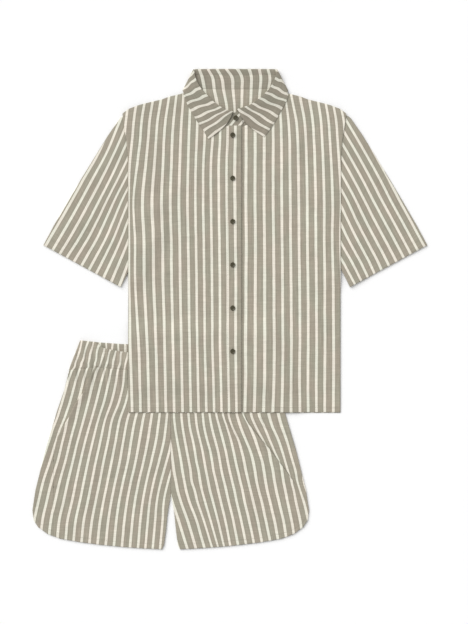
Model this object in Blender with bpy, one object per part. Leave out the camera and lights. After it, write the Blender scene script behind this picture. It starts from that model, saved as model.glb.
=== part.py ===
"""A pyjama set laid flat: a striped short-sleeved shirt lying over the waist of its shorts.

The frame is in metres, +Z up from the surface that the set lies on and +Y from the shorts
to the collar, with its origin at the bottom centre of the whole set. Each garment is worked
out in a frame of its own, x from its centre line and y up from its hem, under an empty that
puts it in its place. Right and left are the wearer's, so right is at -X.
"""

import math

import bpy
import numpy as np

# One layer of cloth, and how layers lie on each other
WALL = 0.0012
LAYER = 0.0017  # from the middle of one layer to the middle of the next
SEAM = 0.0003  # gap between two pieces where they are sewn together
FOLD = 0.0016  # how far from a folded edge the cloth is flat again

# Where each garment's own origin lies in the set
SHIRT_AT = (0.0120, -0.2177)
SHORTS_AT = (-0.1231, -0.5050)

# Shirt body
SIDE = 0.2225  # half the width of the body
NECK = 0.0970  # half the width of the neck, on the shoulder line
OVER_EDGE = 0.0130  # edge of the right front, which lies on top
UNDER_EDGE = -0.0240  # edge of the left front, under it
BODY_ROWS = (0, 0.04, 0.08, 0.12, 0.155, 0.18, 0.205, 0.245, 0.29, 0.35, 0.43, 0.51)
TOP_ROWS = 4  # rows from the last of those up to the shoulder or the neckline
SIDE_COLUMNS = (0.111, 0.140, 0.172, 0.200, SIDE)
ARMHOLE_BLEND = 0.1  # the side starts to follow the armhole this far below it

# Side edge of the body: height, half width there
ARMHOLE = (
    (0.5200, 0.2232),
    (0.5510, 0.2243),
    (0.5790, 0.2274),
    (0.6105, 0.2327),
    (0.6275, 0.2345),
)
# Shoulder line: x, y
SHOULDER = (
    (0.0970, 0.6795),
    (0.1120, 0.6695),
    (0.1370, 0.6635),
    (0.1520, 0.6580),
    (0.1800, 0.6510),
    (0.2000, 0.6455),
    (0.2225, 0.6370),
    (0.2345, 0.6275),
)
# Front neckline, from the centre to the shoulder: x, y
NECKLINE = (
    (0.0130, 0.6010),
    (0.0240, 0.6034),
    (0.0380, 0.6078),
    (0.0540, 0.6158),
    (0.0700, 0.6284),
    (0.0840, 0.6449),
    (0.0970, 0.6795),
)
BACK_NECK = 0.6784  # height of the back neckline at the centre

# Collar at the back: neck seam x, y, roll line x, y, outer edge x, y
COLLAR_BACK = (
    (0.0000, 0.6787, 0.0000, 0.7211, 0.0000, 0.6740),
    (0.0420, 0.6790, 0.0440, 0.7211, 0.0550, 0.6738),
    (0.0800, 0.6805, 0.0800, 0.7208, 0.1000, 0.6732),
    (0.0945, 0.6810, 0.0865, 0.7200, 0.1085, 0.6738),
)
# The fold at the side, where the collar passes from the back to the front
COLLAR_SIDE = (0.0965, 0.6820, 0.0880, 0.7190, 0.1105, 0.6765)
# Collar on the front, from the side fold to the centre
COLLAR_FRONT = (
    (0.0945, 0.6765, 0.0865, 0.7165, 0.1085, 0.6715),
    (0.0892, 0.6615, 0.0830, 0.7000, 0.1088, 0.6672),
    (0.0840, 0.6454, 0.0730, 0.6810, 0.1077, 0.6630),
    (0.0700, 0.6289, 0.0594, 0.6655, 0.1004, 0.6493),
    (0.0540, 0.6163, 0.0458, 0.6530, 0.0930, 0.6357),
    (0.0380, 0.6083, 0.0320, 0.6430, 0.0825, 0.6200),
    (0.0240, 0.6039, 0.0195, 0.6370, 0.0740, 0.6060),
    (0.0130, 0.6015, 0.0110, 0.6345, 0.0690, 0.5970),
)
# Front end of the collar fall, where only the fall is left
FALL_END = (0.0050, 0.6126, 0.0040, 0.6332, 0.0575, 0.5750)
FALL_END_BOW = 0.0070  # how far the front edge of a collar point bows
STAND_END = (-0.0160, 0.6024, -0.0130, 0.6275)  # neck seam x, y, top edge x, y
STAND_SHARE = {"back": 0.69, "side": 0.72, "front": 0.84}  # stand's part of the way to the roll
CORNER_GAP = 0.0016  # gap to the stand at the side fold
CORNER_REACH = 0.0060  # the fold's reach where the roll line meets the side fold
MOST_REACH = 0.8  # the fold takes at most this share of the way to the stand
# Between the roll and the outer edge: share of the way, share of the front edge's bow
FALL_BETWEEN = ((0.35, 0.90), (0.70, 0.85))

# Sleeve, from the shoulder to the hem
SLEEVE_TOP = (
    (0.2220, 0.6310),
    (0.2410, 0.6190),
    (0.2668, 0.5821),
    (0.2863, 0.5506),
    (0.3250, 0.4876),
    (0.3438, 0.4561),
    (0.3805, 0.3931),
    (0.4024, 0.3515),
)
SLEEVE_UNDER = ((0.1880, 0.3680), (0.2410, 0.2640))
SLEEVE_ROWS = 11
SLEEVE_COLUMNS = 8
TUCK_START = 0.2400  # inside this x the sleeve lies on the back panel
TUCK_RUN = 0.0500

# How far the shirt rides over what lies under it
SHORTS_TOP = 0.1600  # height on the shirt of the top of the shorts, with a margin
SHORTS_REACH = 0.0650  # and of their left edge there
SHORTS_SLANT = 0.3100  # how much wider the shorts get for each metre down
SHORTS_RUN = 0.0450
OVER_LEGS = 0.0040
OVER_BAND = 0.0062
BAND_FROM = 0.0200  # height on the shirt where it starts to rise onto the band
BAND_RUN = 0.0500
SLEEVE_IN = 0.0600  # how far in from the sleeve's inner edge the front starts to rise
SLEEVE_FROM = 0.2450  # height on the shirt where the front starts to rise onto the sleeve
SLEEVE_RUN = 0.0450
OVER_BEFORE = 0.0160  # how far before the left front's edge the right one starts to rise
OVER_RUN = 0.0140
FALL_TOP = 0.6640  # the back neck lies on the fall above this
FALL_RUN = 0.0440
FALL_WIDE = 0.1220

# Buttons
BUTTON_RADIUS = 0.0052
BUTTON_THICK = 0.0024
# Half of a button's section, from its underside to its dished face: in from the rim, up
BUTTON_PROFILE = (
    (0.0010, 0),
    (0, 0.0008),
    (0, 0.0017),
    (0.0006, BUTTON_THICK),
    (0.0015, BUTTON_THICK),
    (0.0022, 0.0018),
)
BUTTON_SHARP = 40  # degrees between two faces that meet at a crisp edge
BUTTON_SIDES = 16
BUTTON_X = -0.0055
BUTTON_FIRST = 0.1292
BUTTON_PITCH = 0.0907
BUTTON_COUNT = 6
NECK_BUTTON = (0.0009, 0.6184)

# Shorts: half of each outline, x, y
SHORTS_SIDE = (
    (0.2919, 0.0830),
    (0.2856, 0.1250),
    (0.2750, 0.1670),
    (0.2646, 0.2090),
    (0.2520, 0.2510),
    (0.2394, 0.2930),
    (0.2247, 0.3350),
    (0.2140, 0.3766),
)
SHORTS_INNER = (
    (0.0189, 0.0010),
    (0.0147, 0.0095),
    (0.0105, 0.0410),
    (0.0074, 0.0725),
    (0.0042, 0.0935),
    (0.0002, 0.1145),
    (0.0002, 0.3696),
)
SHORTS_HEM = (
    (0.0189, 0.0010),
    (0.0651, 0.0032),
    (0.1071, 0.0063),
    (0.1491, 0.0105),
    (0.1911, 0.0158),
    (0.2331, 0.0231),
    (0.2600, 0.0330),
    (0.2800, 0.0475),
    (0.2895, 0.0620),
    (0.2919, 0.0830),
)
LEG_COLUMNS = 10
LEG_ROWS = 9

# Waistband: height against distance from the centre
BAND_WALL = 0.0020
BAND_LAYER = 0.0026
BAND_BOTTOM_WIDTH = 0.2140
BAND_TOP_WIDTH = 0.1900
BAND_BOTTOM = ((0, 0.3700), (0.0966, 0.3770), (0.1560, 0.3833), (0.2140, 0.3770))
BAND_TOP_BACK = ((0, 0.4285), (0.1070, 0.4316), (0.1490, 0.4347), (0.1900, 0.4393))
BAND_TOP_FRONT = (
    (0, 0.4040),
    (0.0882, 0.4137),
    (0.1176, 0.4180),
    (0.1407, 0.4230),
    (0.1600, 0.4355),
    (0.1900, 0.4393),
)
BAND_GATHERS = 28
BAND_SEAM = 0.0008  # gap along the gathered seam, which is less even
GATHER_DEPTH = 0.0003

COTTON = (0.38, 0.345, 0.27)
COTTON_ROUGHNESS = 0.9
BUTTON_BROWN = (0.05, 0.045, 0.03)
BUTTON_ROUGHNESS = 0.3


def lerp(a, b, t):
    return a + (b - a) * t


def mix(a, b, t):
    """The point that far from a to b."""
    return tuple(lerp(p, q, t) for p, q in zip(a, b))


def smooth(t):
    """0 below 0, 1 above 1, and an even S between them."""
    t = min(max(t, 0.0), 1.0)
    return t * t * (3 - 2 * t)


def read(table, x):
    """The second column of a table of two at x in the first."""
    return float(np.interp(x, [row[0] for row in table], [row[1] for row in table]))


def along(points, share):
    """The point that share of the way along a broken line."""
    lengths = [math.dist(a, b) for a, b in zip(points, points[1:])]
    left = share * sum(lengths)
    for a, b, length in zip(points, points[1:], lengths):
        if left <= length:
            return mix(a, b, left / length)
        left -= length
    return points[-1]


def toward(a, b, reach):
    """The point a given distance from a on the way to b."""
    return mix(a, b, reach / math.dist(a, b))


def empty(name, at):
    holder = bpy.data.objects.new(name, None)
    holder.location = (*at, 0)
    bpy.context.scene.collection.objects.link(holder)
    return holder


def finish(name, colour, roughness):
    made = bpy.data.materials.new(name)
    made.use_nodes = True
    shader = made.node_tree.nodes["Principled BSDF"]
    shader.inputs["Base Color"].default_value = (*colour, 1)
    shader.inputs["Roughness"].default_value = roughness
    shader.inputs["Metallic"].default_value = 0
    return made


def add(name, points, faces, holder, colour, roughness):
    mesh = bpy.data.meshes.new(name)
    mesh.from_pydata(points, [], faces)
    mesh.shade_smooth()
    mesh.materials.append(finish(name + "_finish", colour, roughness))
    piece = bpy.data.objects.new(name, mesh)
    piece.parent = holder
    bpy.context.scene.collection.objects.link(piece)
    return piece


def cloth(name, rows, holder, ring=False, wall=WALL):
    """A piece of cloth: a grid of points through its middle, thickened to its wall."""
    count = len(rows[0])
    faces = []
    for row in range(len(rows) - 1):
        for column in range(count if ring else count - 1):
            a = row * count + column
            b = row * count + (column + 1) % count
            faces.append((a, b, b + count, a + count))
    points = [point for row in rows for point in row]
    piece = add(name, points, faces, holder, COTTON, COTTON_ROUGHNESS)
    solid = piece.modifiers.new("wall", "SOLIDIFY")
    solid.thickness = wall
    solid.offset = 0
    cut = piece.modifiers.new("triangles", "TRIANGULATE")
    cut.quad_method = "FIXED"
    return piece


def collar_rest(x, y):
    """How far the collar's back fall lifts what lies on it."""
    across = smooth((FALL_WIDE + FALL_RUN - abs(x)) / FALL_RUN)
    return LAYER * across * smooth((y - FALL_TOP + FALL_RUN) / FALL_RUN)


def shirt_rest(x, y):
    """Height of what the back panel lies on: the shorts, the collar's fall or the surface."""
    reach = SHORTS_REACH + SHORTS_SLANT * (SHORTS_TOP - y)
    across = smooth((reach + SHORTS_RUN - x) / SHORTS_RUN)
    up = smooth((SHORTS_TOP + SHORTS_RUN - y) / SHORTS_RUN)
    band = smooth((y - BAND_FROM) / BAND_RUN)
    return lerp(OVER_LEGS, OVER_BAND, band) * across * up + collar_rest(x, y)


def sleeve_rest(x):
    """The sleeve rises onto the back panel where it goes in under the front."""
    return LAYER * smooth((TUCK_START + TUCK_RUN - abs(x)) / TUCK_RUN)


def over_sleeve(x, y):
    """How far the front is lifted by the two layers of the sleeve under its side."""
    under = SLEEVE_UNDER[0]
    foot = SLEEVE_FROM + SLEEVE_RUN
    inner = read(((foot, SIDE), (under[1], under[0]), (SLEEVE_TOP[0][1], SLEEVE_TOP[0][0])), y)
    across = smooth((abs(x) - inner + SLEEVE_IN) / SLEEVE_RUN)
    return 2 * LAYER * across * smooth((y - SLEEVE_FROM) / SLEEVE_RUN)


def middle(level):
    """Height of the middle of a layer that many layers up."""
    return WALL / 2 + level * LAYER


def over_level(x):
    """The right front and its collar end pass over the left ones near the centre."""
    return 1 + smooth((x - UNDER_EDGE + OVER_BEFORE) / OVER_RUN)


def stretched(column, half):
    """Columns inside the neck stay straight, and those outside spread to the side edge."""
    if abs(column) <= NECK:
        return column
    out = NECK + (abs(column) - NECK) / (SIDE - NECK) * (half - NECK)
    return math.copysign(out, column)


def body_panel(columns, neckline, height):
    """Rows of points from the hem to the shoulder and neckline."""
    rows = []
    for step in range(len(BODY_ROWS) + TOP_ROWS):
        row = []
        for column in columns:
            across = abs(stretched(column, ARMHOLE[-1][1]))
            top = read(SHOULDER if across >= NECK else neckline, across)
            share = max(0, step - len(BODY_ROWS) + 1) / TOP_ROWS
            y = lerp(BODY_ROWS[min(step, len(BODY_ROWS) - 1)], top, share)
            half = SIDE if y < ARMHOLE[0][0] - ARMHOLE_BLEND else read(ARMHOLE, y)
            x = stretched(column, half)
            row.append((x, y, height(x, y)))
        rows.append(row)
    return rows


def make_body(holder):
    half = [x for x, _ in NECKLINE] + list(SIDE_COLUMNS)
    columns = [-x for x in reversed(half)] + half
    back = ((0, BACK_NECK), (NECK, SHOULDER[0][1]))
    cloth("shirt_back", body_panel(columns, back, lambda x, y: middle(0) + shirt_rest(x, y)), holder)

    def right_height(x, y):
        return middle(over_level(x)) + shirt_rest(x, y) + over_sleeve(x, y)

    def left_height(x, y):
        return middle(1) + shirt_rest(x, y) + over_sleeve(x, y)

    right = [x for x in columns if x <= OVER_EDGE]
    left = [x for x in columns if x >= UNDER_EDGE]
    cloth("shirt_front_right", body_panel(right, NECKLINE, right_height), holder)
    cloth("shirt_front_left", body_panel(left, NECKLINE, left_height), holder)


def flat_ring(left, right, front_row, back_row):
    """Points round a tube that lies flat: over the front, round one edge and back under."""
    return [left, *front_row, right, *reversed(back_row)]


def make_sleeve(name, side, holder):
    rows = []
    for step in range(SLEEVE_ROWS):
        share = step / (SLEEVE_ROWS - 1)
        top = along(SLEEVE_TOP, share)
        under = along(SLEEVE_UNDER, share)
        width = math.dist(top, under)
        edge = FOLD / width
        flat = []
        for column in range(SLEEVE_COLUMNS):
            flat.append(mix(top, under, lerp(edge, 1 - edge, column / (SLEEVE_COLUMNS - 1))))
        front = [(side * x, y, middle(1) + sleeve_rest(x)) for x, y in flat]
        back = [(side * x, y, middle(0) + sleeve_rest(x)) for x, y in flat]
        edge_top = (side * top[0], top[1], middle(0.5) + sleeve_rest(top[0]))
        edge_under = (side * under[0], under[1], middle(0.5) + sleeve_rest(under[0]))
        rows.append(flat_ring(edge_top, edge_under, front, back))
    cloth(name, rows, holder, ring=True)


def collar_stations():
    """Every station round the collar, from the right front to the left, as
    (side, place, neck seam point, roll point, outer edge point)."""
    half = [("back", row) for row in COLLAR_BACK]
    half.append(("side", COLLAR_SIDE))
    half += [("front", row) for row in COLLAR_FRONT]
    stations = []
    for side, rows in ((-1, list(reversed(half))), (1, half[1:])):
        for place, (ax, ay, cx, cy, dx, dy) in rows:
            stations.append((side, place, (side * ax, ay), (side * cx, cy), (side * dx, dy)))
    return stations


def stand_height(side, place, x, y):
    if place == "back":
        return middle(0) + LAYER
    if place == "side":
        return middle(0.5) + LAYER
    level = over_level(x) if side < 0 else 1
    return middle(level) + collar_rest(x, y)


def stand_row(side, place, neck, top):
    points = [neck, mix(neck, top, 0.5), top]
    return [(x, y, stand_height(side, place, x, y)) for x, y in points]


def make_stand(holder):
    ax, ay, bx, by = STAND_END
    rows = [stand_row(-1, "front", (-ax, ay), (-bx, by))]
    for side, place, neck, roll, _ in collar_stations():
        rows.append(stand_row(side, place, neck, mix(neck, roll, STAND_SHARE[place])))
    rows.append(stand_row(1, "front", (ax, ay), (bx, by)))
    cloth("collar_stand", rows, holder)


def fall_height(place, x, y):
    """Height of the turned-down part: under the back, over the front."""
    if place == "back":
        return middle(0)
    leaf = middle(3) + collar_rest(x, y)
    return leaf if place == "front" else (middle(0) + leaf) / 2


def fall_row(side, place, neck, roll, edge, bow=0):
    """Across the fall: up from the stand to the roll, round it and down to the outer edge."""
    gap = CORNER_GAP if place == "side" else SEAM
    start = toward(mix(neck, roll, STAND_SHARE[place]), roll, gap)
    reach = CORNER_REACH if place == "side" else FOLD
    inner = [start, toward(roll, start, min(reach, MOST_REACH * math.dist(roll, start)))]
    row = [(x, y, stand_height(side, place, x, y)) for x, y in inner]
    out = [toward(roll, edge, reach)]
    out += [mix(roll, edge, share) for share, _ in FALL_BETWEEN]
    out.append(edge)
    bends = [0, *(bend for _, bend in FALL_BETWEEN), 0]
    width = math.dist(roll, edge)
    across = (side * (edge[1] - roll[1]) / width, -(edge[0] - roll[0]) * side / width)
    leaf = []
    for (x, y), bend in zip(out, bends):
        x += bow * bend * across[0]
        y += bow * bend * across[1]
        leaf.append((x, y, fall_height(place, x, y)))
    row.append((*roll, (row[-1][2] + leaf[0][2]) / 2))
    return row + leaf


def make_fall(holder):
    ends = []
    for side in (-1, 1):
        ax, ay, cx, cy, dx, dy = FALL_END
        points = ((side * ax, ay), (side * cx, cy), (side * dx, dy))
        ends.append(fall_row(side, "front", *points, bow=FALL_END_BOW))
    rows = [fall_row(*station) for station in collar_stations()]
    cloth("collar_fall", [ends[0], *rows, ends[1]], holder)


def make_button(name, x, y, base, holder):
    """A turned disc with a rounded rim and a dished face."""
    points = []
    for inward, z in BUTTON_PROFILE:
        radius = BUTTON_RADIUS - inward
        for step in range(BUTTON_SIDES):
            turn = math.tau * step / BUTTON_SIDES
            points.append((radius * math.cos(turn), radius * math.sin(turn), z))
    faces = [tuple(reversed(range(BUTTON_SIDES)))]
    last = len(BUTTON_PROFILE) - 1
    for ring in range(last):
        for step in range(BUTTON_SIDES):
            a = ring * BUTTON_SIDES + step
            b = ring * BUTTON_SIDES + (step + 1) % BUTTON_SIDES
            faces.append((a, b, b + BUTTON_SIDES, a + BUTTON_SIDES))
    faces.append(tuple(last * BUTTON_SIDES + step for step in range(BUTTON_SIDES)))
    piece = add(name, points, faces, holder, BUTTON_BROWN, BUTTON_ROUGHNESS)
    piece.location = (x, y, base)
    piece.data.set_sharp_from_angle(angle=math.radians(BUTTON_SHARP))


def make_buttons(holder):
    clear = WALL / 2 + SEAM
    for index in range(BUTTON_COUNT):
        y = BUTTON_FIRST + index * BUTTON_PITCH
        base = middle(2) + shirt_rest(BUTTON_X, y) + clear
        make_button(f"button_{index + 1}", BUTTON_X, y, base, holder)
    x, y = NECK_BUTTON
    base = middle(2) + collar_rest(x, y) + clear
    make_button(f"button_{BUTTON_COUNT + 1}", x, y, base, holder)


def patch(bottom, top, left, right, u, v):
    """The point at u, v of the surface between four edges."""
    low, high, near, far = along(bottom, u), along(top, u), along(left, v), along(right, v)
    corners = mix(mix(bottom[0], bottom[-1], u), mix(top[0], top[-1], u), v)
    sides = mix(near, far, u)
    ends = mix(low, high, v)
    return tuple(a + b - c for a, b, c in zip(sides, ends, corners))


def make_leg(name, side, level, holder):
    """One leg panel, from its curved hem to the waistband's seam."""
    start, end = SHORTS_INNER[-1], SHORTS_SIDE[-1]
    top = [start]
    top += [(x, y - BAND_SEAM) for x, y in BAND_BOTTOM[1:-1]]
    top.append(end)
    rows = []
    for step in range(LEG_ROWS):
        row = []
        for column in range(LEG_COLUMNS):
            u = column / (LEG_COLUMNS - 1)
            v = step / (LEG_ROWS - 1)
            x, y = patch(SHORTS_HEM, top, SHORTS_INNER, SHORTS_SIDE, u, v)
            row.append((side * x, y, middle(level)))
        rows.append(row)
    cloth(name, rows, holder)


def make_waistband(holder):
    """A gathered ring that lies flat, with its front dipping below its back."""
    rows = []
    for share in (0, 0.5, 1):
        width = lerp(BAND_BOTTOM_WIDTH, BAND_TOP_WIDTH, share)
        layers = []
        for level, top in ((1, BAND_TOP_FRONT), (0, BAND_TOP_BACK)):
            layer = []
            for step in range(BAND_GATHERS):
                u = lerp(-1, 1, (step + 0.5) / BAND_GATHERS)
                low = read(BAND_BOTTOM, abs(u) * BAND_BOTTOM_WIDTH)
                high = read(top, abs(u) * BAND_TOP_WIDTH)
                ridge = GATHER_DEPTH * (-1) ** step * level
                z = BAND_WALL / 2 + level * BAND_LAYER + ridge
                layer.append((u * width, lerp(low, high, share), z))
            layers.append(layer)
        y = lerp(BAND_BOTTOM[-1][1], BAND_TOP_BACK[-1][1], share)
        z = (BAND_WALL + BAND_LAYER) / 2
        rows.append(flat_ring((-width, y, z), (width, y, z), layers[0], layers[1]))
    cloth("waistband", rows, holder, ring=True, wall=BAND_WALL)


def main():
    for old in list(bpy.data.objects):
        bpy.data.objects.remove(old)
    shirt = empty("shirt", SHIRT_AT)
    shorts = empty("shorts", SHORTS_AT)
    make_body(shirt)
    make_sleeve("sleeve_right", -1, shirt)
    make_sleeve("sleeve_left", 1, shirt)
    make_stand(shirt)
    make_fall(shirt)
    make_buttons(shirt)
    for side, word in ((-1, "right"), (1, "left")):
        make_leg("shorts_front_" + word, side, 1, shorts)
        make_leg("shorts_back_" + word, side, 0, shorts)
    make_waistband(shorts)


main()
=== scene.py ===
"""The looks of a pyjama set laid flat: a striped short-sleeved shirt over the waist of its shorts.

Every piece of cloth is a thin shell through the middle of its solid in the frame. It is worked
out in its garment's own frame, x from the centre line and y up from the hem, and carries two
cloth coordinates: the number of the stripe, with a white stripe at each whole number, and the
distance along the stripes in metres. Right and left are the wearer's, so right is at -X.
"""

import math

import bmesh
import bpy
import numpy as np
from mathutils import Matrix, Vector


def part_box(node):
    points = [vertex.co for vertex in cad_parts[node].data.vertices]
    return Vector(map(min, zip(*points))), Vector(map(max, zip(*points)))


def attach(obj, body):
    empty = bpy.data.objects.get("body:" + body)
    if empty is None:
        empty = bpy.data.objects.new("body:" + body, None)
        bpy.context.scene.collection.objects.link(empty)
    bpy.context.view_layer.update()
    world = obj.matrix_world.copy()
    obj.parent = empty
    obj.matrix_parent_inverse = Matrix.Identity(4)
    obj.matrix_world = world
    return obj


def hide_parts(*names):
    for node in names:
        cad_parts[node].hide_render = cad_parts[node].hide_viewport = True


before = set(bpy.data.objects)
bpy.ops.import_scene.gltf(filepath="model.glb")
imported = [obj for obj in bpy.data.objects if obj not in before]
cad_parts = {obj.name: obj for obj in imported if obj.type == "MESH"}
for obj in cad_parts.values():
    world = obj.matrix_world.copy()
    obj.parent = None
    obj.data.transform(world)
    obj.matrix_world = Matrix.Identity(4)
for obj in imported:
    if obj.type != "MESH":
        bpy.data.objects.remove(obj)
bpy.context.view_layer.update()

# One layer of cloth, and how layers lie on each other
WALL = 0.0012  # the solids' wall, whose middle the shells follow
LAYER = 0.0017
CLOTH = 0.0007  # thickness of the woven cloth
HEM = 1.7  # how many times thicker a turned hem is
STRIPE_PITCH = 0.0176
STRIPE_SHIFT = 0.0011  # the stripes lie this much to +X and below the places in the tables

# Where each garment's own origin lies
shirt_low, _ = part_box("shirt_back")
shorts_low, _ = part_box("shorts_front_right")
_, shorts_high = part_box("shorts_front_left")
SHIRT_AT = (0.0120, shirt_low.y)
SHORTS_AT = ((shorts_low.x + shorts_high.x) / 2, shorts_low.y - 0.0010)

# Shirt body
SIDE = 0.2225
SIDE_SHIFT = 0.0020  # both sides lie this much further to the wearer's right
NECK = 0.0970
OVER_EDGE = 0.0130
UNDER_EDGE = -0.0240
STRAIGHT = 0.5100  # the body's side is straight up to this height
ARMHOLE = ((0.5200, 0.2232), (0.5510, 0.2243), (0.5790, 0.2274), (0.6105, 0.2327), (0.6275, 0.2345))
SHOULDER = (
    (0.0970, 0.6795), (0.1120, 0.6695), (0.1370, 0.6635), (0.1520, 0.6580),
    (0.1800, 0.6510), (0.2000, 0.6455), (0.2225, 0.6370), (0.2345, 0.6275),
)
NECKLINE = (
    (0.0130, 0.6010), (0.0240, 0.6034), (0.0380, 0.6078), (0.0540, 0.6158),
    (0.0700, 0.6284), (0.0840, 0.6449), (0.0970, 0.6795),
)
BACK_NECK = ((0, 0.6784), (NECK, 0.6795))

# Stripes of the right front, numbered from the button edge: height, then how far out in
# millimetres the edge and stripes 1, 4, 7, 10, 13 and 14 are
RIGHT_FRONT_NUMBERS = (0.3, 1, 4, 7, 10, 13, 14)
RIGHT_FRONT = (
    (0.006, -13, -1.3, 45.6, 94.3, 146.8, 200.1, 217.6),
    (0.069, -13, 0.0, 47.0, 95.6, 147.8, 201.4, 219.0),
    (0.153, -13, 0.8, 49.4, 96.8, 149.5, 204.1, 221.6),
    (0.195, -13, 0.8, 49.4, 97.9, 150.4, 207.3, 222.0),
    (0.279, -13, 0.4, 50.2, 98.7, 152.9, 211.9, 223.2),
    (0.363, -13, 1.3, 51.2, 100.0, 153.5, 212.1, 223.2),
    (0.447, -13, 2.5, 52.3, 101.4, 155.8, 215.7, 223.6),
    (0.531, -13, 2.7, 52.1, 99.8, 152.5, 205.8, 221.8),
    (0.573, -13, 1.7, 49.1, 98.7, 151.0, 200.6, 217.4),
    (0.615, -13, 1.5, 47.6, 97.2, 147.6, 197.4, 213.8),
    (0.657, -13, 1.5, 46.0, 95.4, 141.1, 190.5, 207.5),
)
# Stripes 1, 4, 7, 10 and 12 of the left front
LEFT_FRONT_NUMBERS = (1, 4, 7, 10, 12)
LEFT_FRONT = (
    (0.006, 18.9, 77.7, 134.4, 186.5, 222.6),
    (0.069, 20.4, 79.8, 133.6, 186.3, 223.6),
    (0.153, 20.4, 80.6, 134.4, 186.9, 223.4),
    (0.195, 20.8, 80.2, 134.4, 186.5, 223.0),
    (0.279, 21.2, 80.0, 133.6, 186.5, 221.6),
    (0.363, 21.8, 79.2, 132.5, 185.2, 218.8),
    (0.447, 21.0, 78.3, 132.1, 185.0, 220.7),
    (0.531, 21.4, 78.3, 130.8, 182.9, 216.1),
    (0.573, 21.4, 78.5, 129.8, 181.0, 213.2),
    (0.615, 21.4, 78.2, 126.4, 178.5, 210.0),
    (0.657, 21.4, 78.0, 117.8, 172.4, 202.0),
)
# Stripes of the back, across its whole width from the wearer's right
BACK_NUMBERS = (-9, -4, -3, -2, -1, 0, 1, 2, 3, 4, 9)
BACK = (
    (0.500, -166, -71, -53, -35, -17.6, 0, 18, 36, 54, 72, 166),
    (0.646, -154, -61.5, -38.4, -19.5, -2.7, 12.0, 30.9, 47.7, 65.5, 84, 174),
    (0.678, -158, -65.7, -44.7, -25.8, -5.9, 13.0, 31.9, 50.8, 68.7, 88, 176),
)
# Stripes 9, 6, 3 and 0 of each sleeve, numbered from its upper edge
SLEEVE_NUMBERS = (9, 6, 3, 0)
SLEEVE_RIGHT = (
    (0.2892, 255.8, 314.6, 378.6, 435.3),
    (0.3417, 233.7, 286.0, 345.2, 404.9),
    (0.3627, 225.5, 274.7, 331.6, 392.9),
    (0.4047, 210.6, 256.6, 307.7, 368.3),
    (0.4467, 193.8, 239.0, 286.2, 344.2),
    (0.4887, 172.8, 218.0, 264.6, 320.9),
    (0.5517, 141.3, 185.4, 236.0, 285.2),
    (0.6042, 116.0, 162.3, 212.7, 264.2),
)
SLEEVE_LEFT = (
    (0.2892, 257.5, 310.2, 370.0, 427.8),
    (0.3165, 243.6, 298.6, 357.2, 413.0),
    (0.3417, 229.3, 285.6, 344.4, 400.5),
    (0.3627, 217.8, 274.3, 333.3, 388.7),
    (0.4047, 198.9, 252.6, 310.4, 366.2),
    (0.4467, 177.9, 233.3, 287.9, 343.1),
    (0.4887, 154.8, 210.4, 266.3, 321.7),
    (0.5517, 119.1, 175.8, 231.2, 287.1),
    (0.6105, 85.5, 140.0, 196.8, 252.4),
)

# Collar at the back: neck seam x, y, roll line x, y, outer edge x, y
COLLAR_BACK = (
    (0.0000, 0.6787, 0.0000, 0.7211, 0.0000, 0.6740),
    (0.0420, 0.6790, 0.0440, 0.7211, 0.0550, 0.6738),
    (0.0800, 0.6805, 0.0800, 0.7208, 0.1000, 0.6732),
    (0.0945, 0.6810, 0.0865, 0.7200, 0.1085, 0.6738),
)
# The fold at the side, where the collar passes from the back to the front
COLLAR_SIDE = (0.0965, 0.6820, 0.0880, 0.7190, 0.1105, 0.6765)
# Collar on each front, from the side fold to the centre. The last row is the leaf's front edge
COLLAR_RIGHT = (
    (0.0945, 0.6765, 0.0865, 0.7165, 0.1085, 0.6715),
    (0.0892, 0.6615, 0.0830, 0.7000, 0.1088, 0.6672),
    (0.0840, 0.6454, 0.0730, 0.6810, 0.1077, 0.6620),
    (0.0700, 0.6289, 0.0590, 0.6655, 0.1004, 0.6462),
    (0.0540, 0.6163, 0.0455, 0.6520, 0.0935, 0.6340),
    (0.0380, 0.6083, 0.0320, 0.6420, 0.0830, 0.6160),
    (0.0240, 0.6039, 0.0195, 0.6345, 0.0741, 0.6030),
    (0.0130, 0.6015, 0.0110, 0.6325, 0.0660, 0.5905),
    (0.0050, 0.6126, 0.0040, 0.6315, 0.0563, 0.5745),
)
COLLAR_LEFT = (
    (0.0945, 0.6765, 0.0865, 0.7165, 0.1092, 0.6715),
    (0.0892, 0.6615, 0.0835, 0.7010, 0.1106, 0.6672),
    (0.0840, 0.6454, 0.0720, 0.6800, 0.1100, 0.6600),
    (0.0700, 0.6289, 0.0600, 0.6675, 0.1050, 0.6490),
    (0.0540, 0.6163, 0.0470, 0.6565, 0.0960, 0.6335),
    (0.0380, 0.6083, 0.0340, 0.6470, 0.0876, 0.6178),
    (0.0240, 0.6039, 0.0204, 0.6415, 0.0781, 0.6021),
    (0.0130, 0.6015, 0.0110, 0.6385, 0.0700, 0.5910),
    (0.0050, 0.6126, 0.0040, 0.6365, 0.0603, 0.5785),
)
STAND_END = (-0.0160, 0.6024, -0.0130, 0.6275)
STAND_SHARE = {"back": 0.69, "side": 0.72, "front": 0.84}
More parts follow.
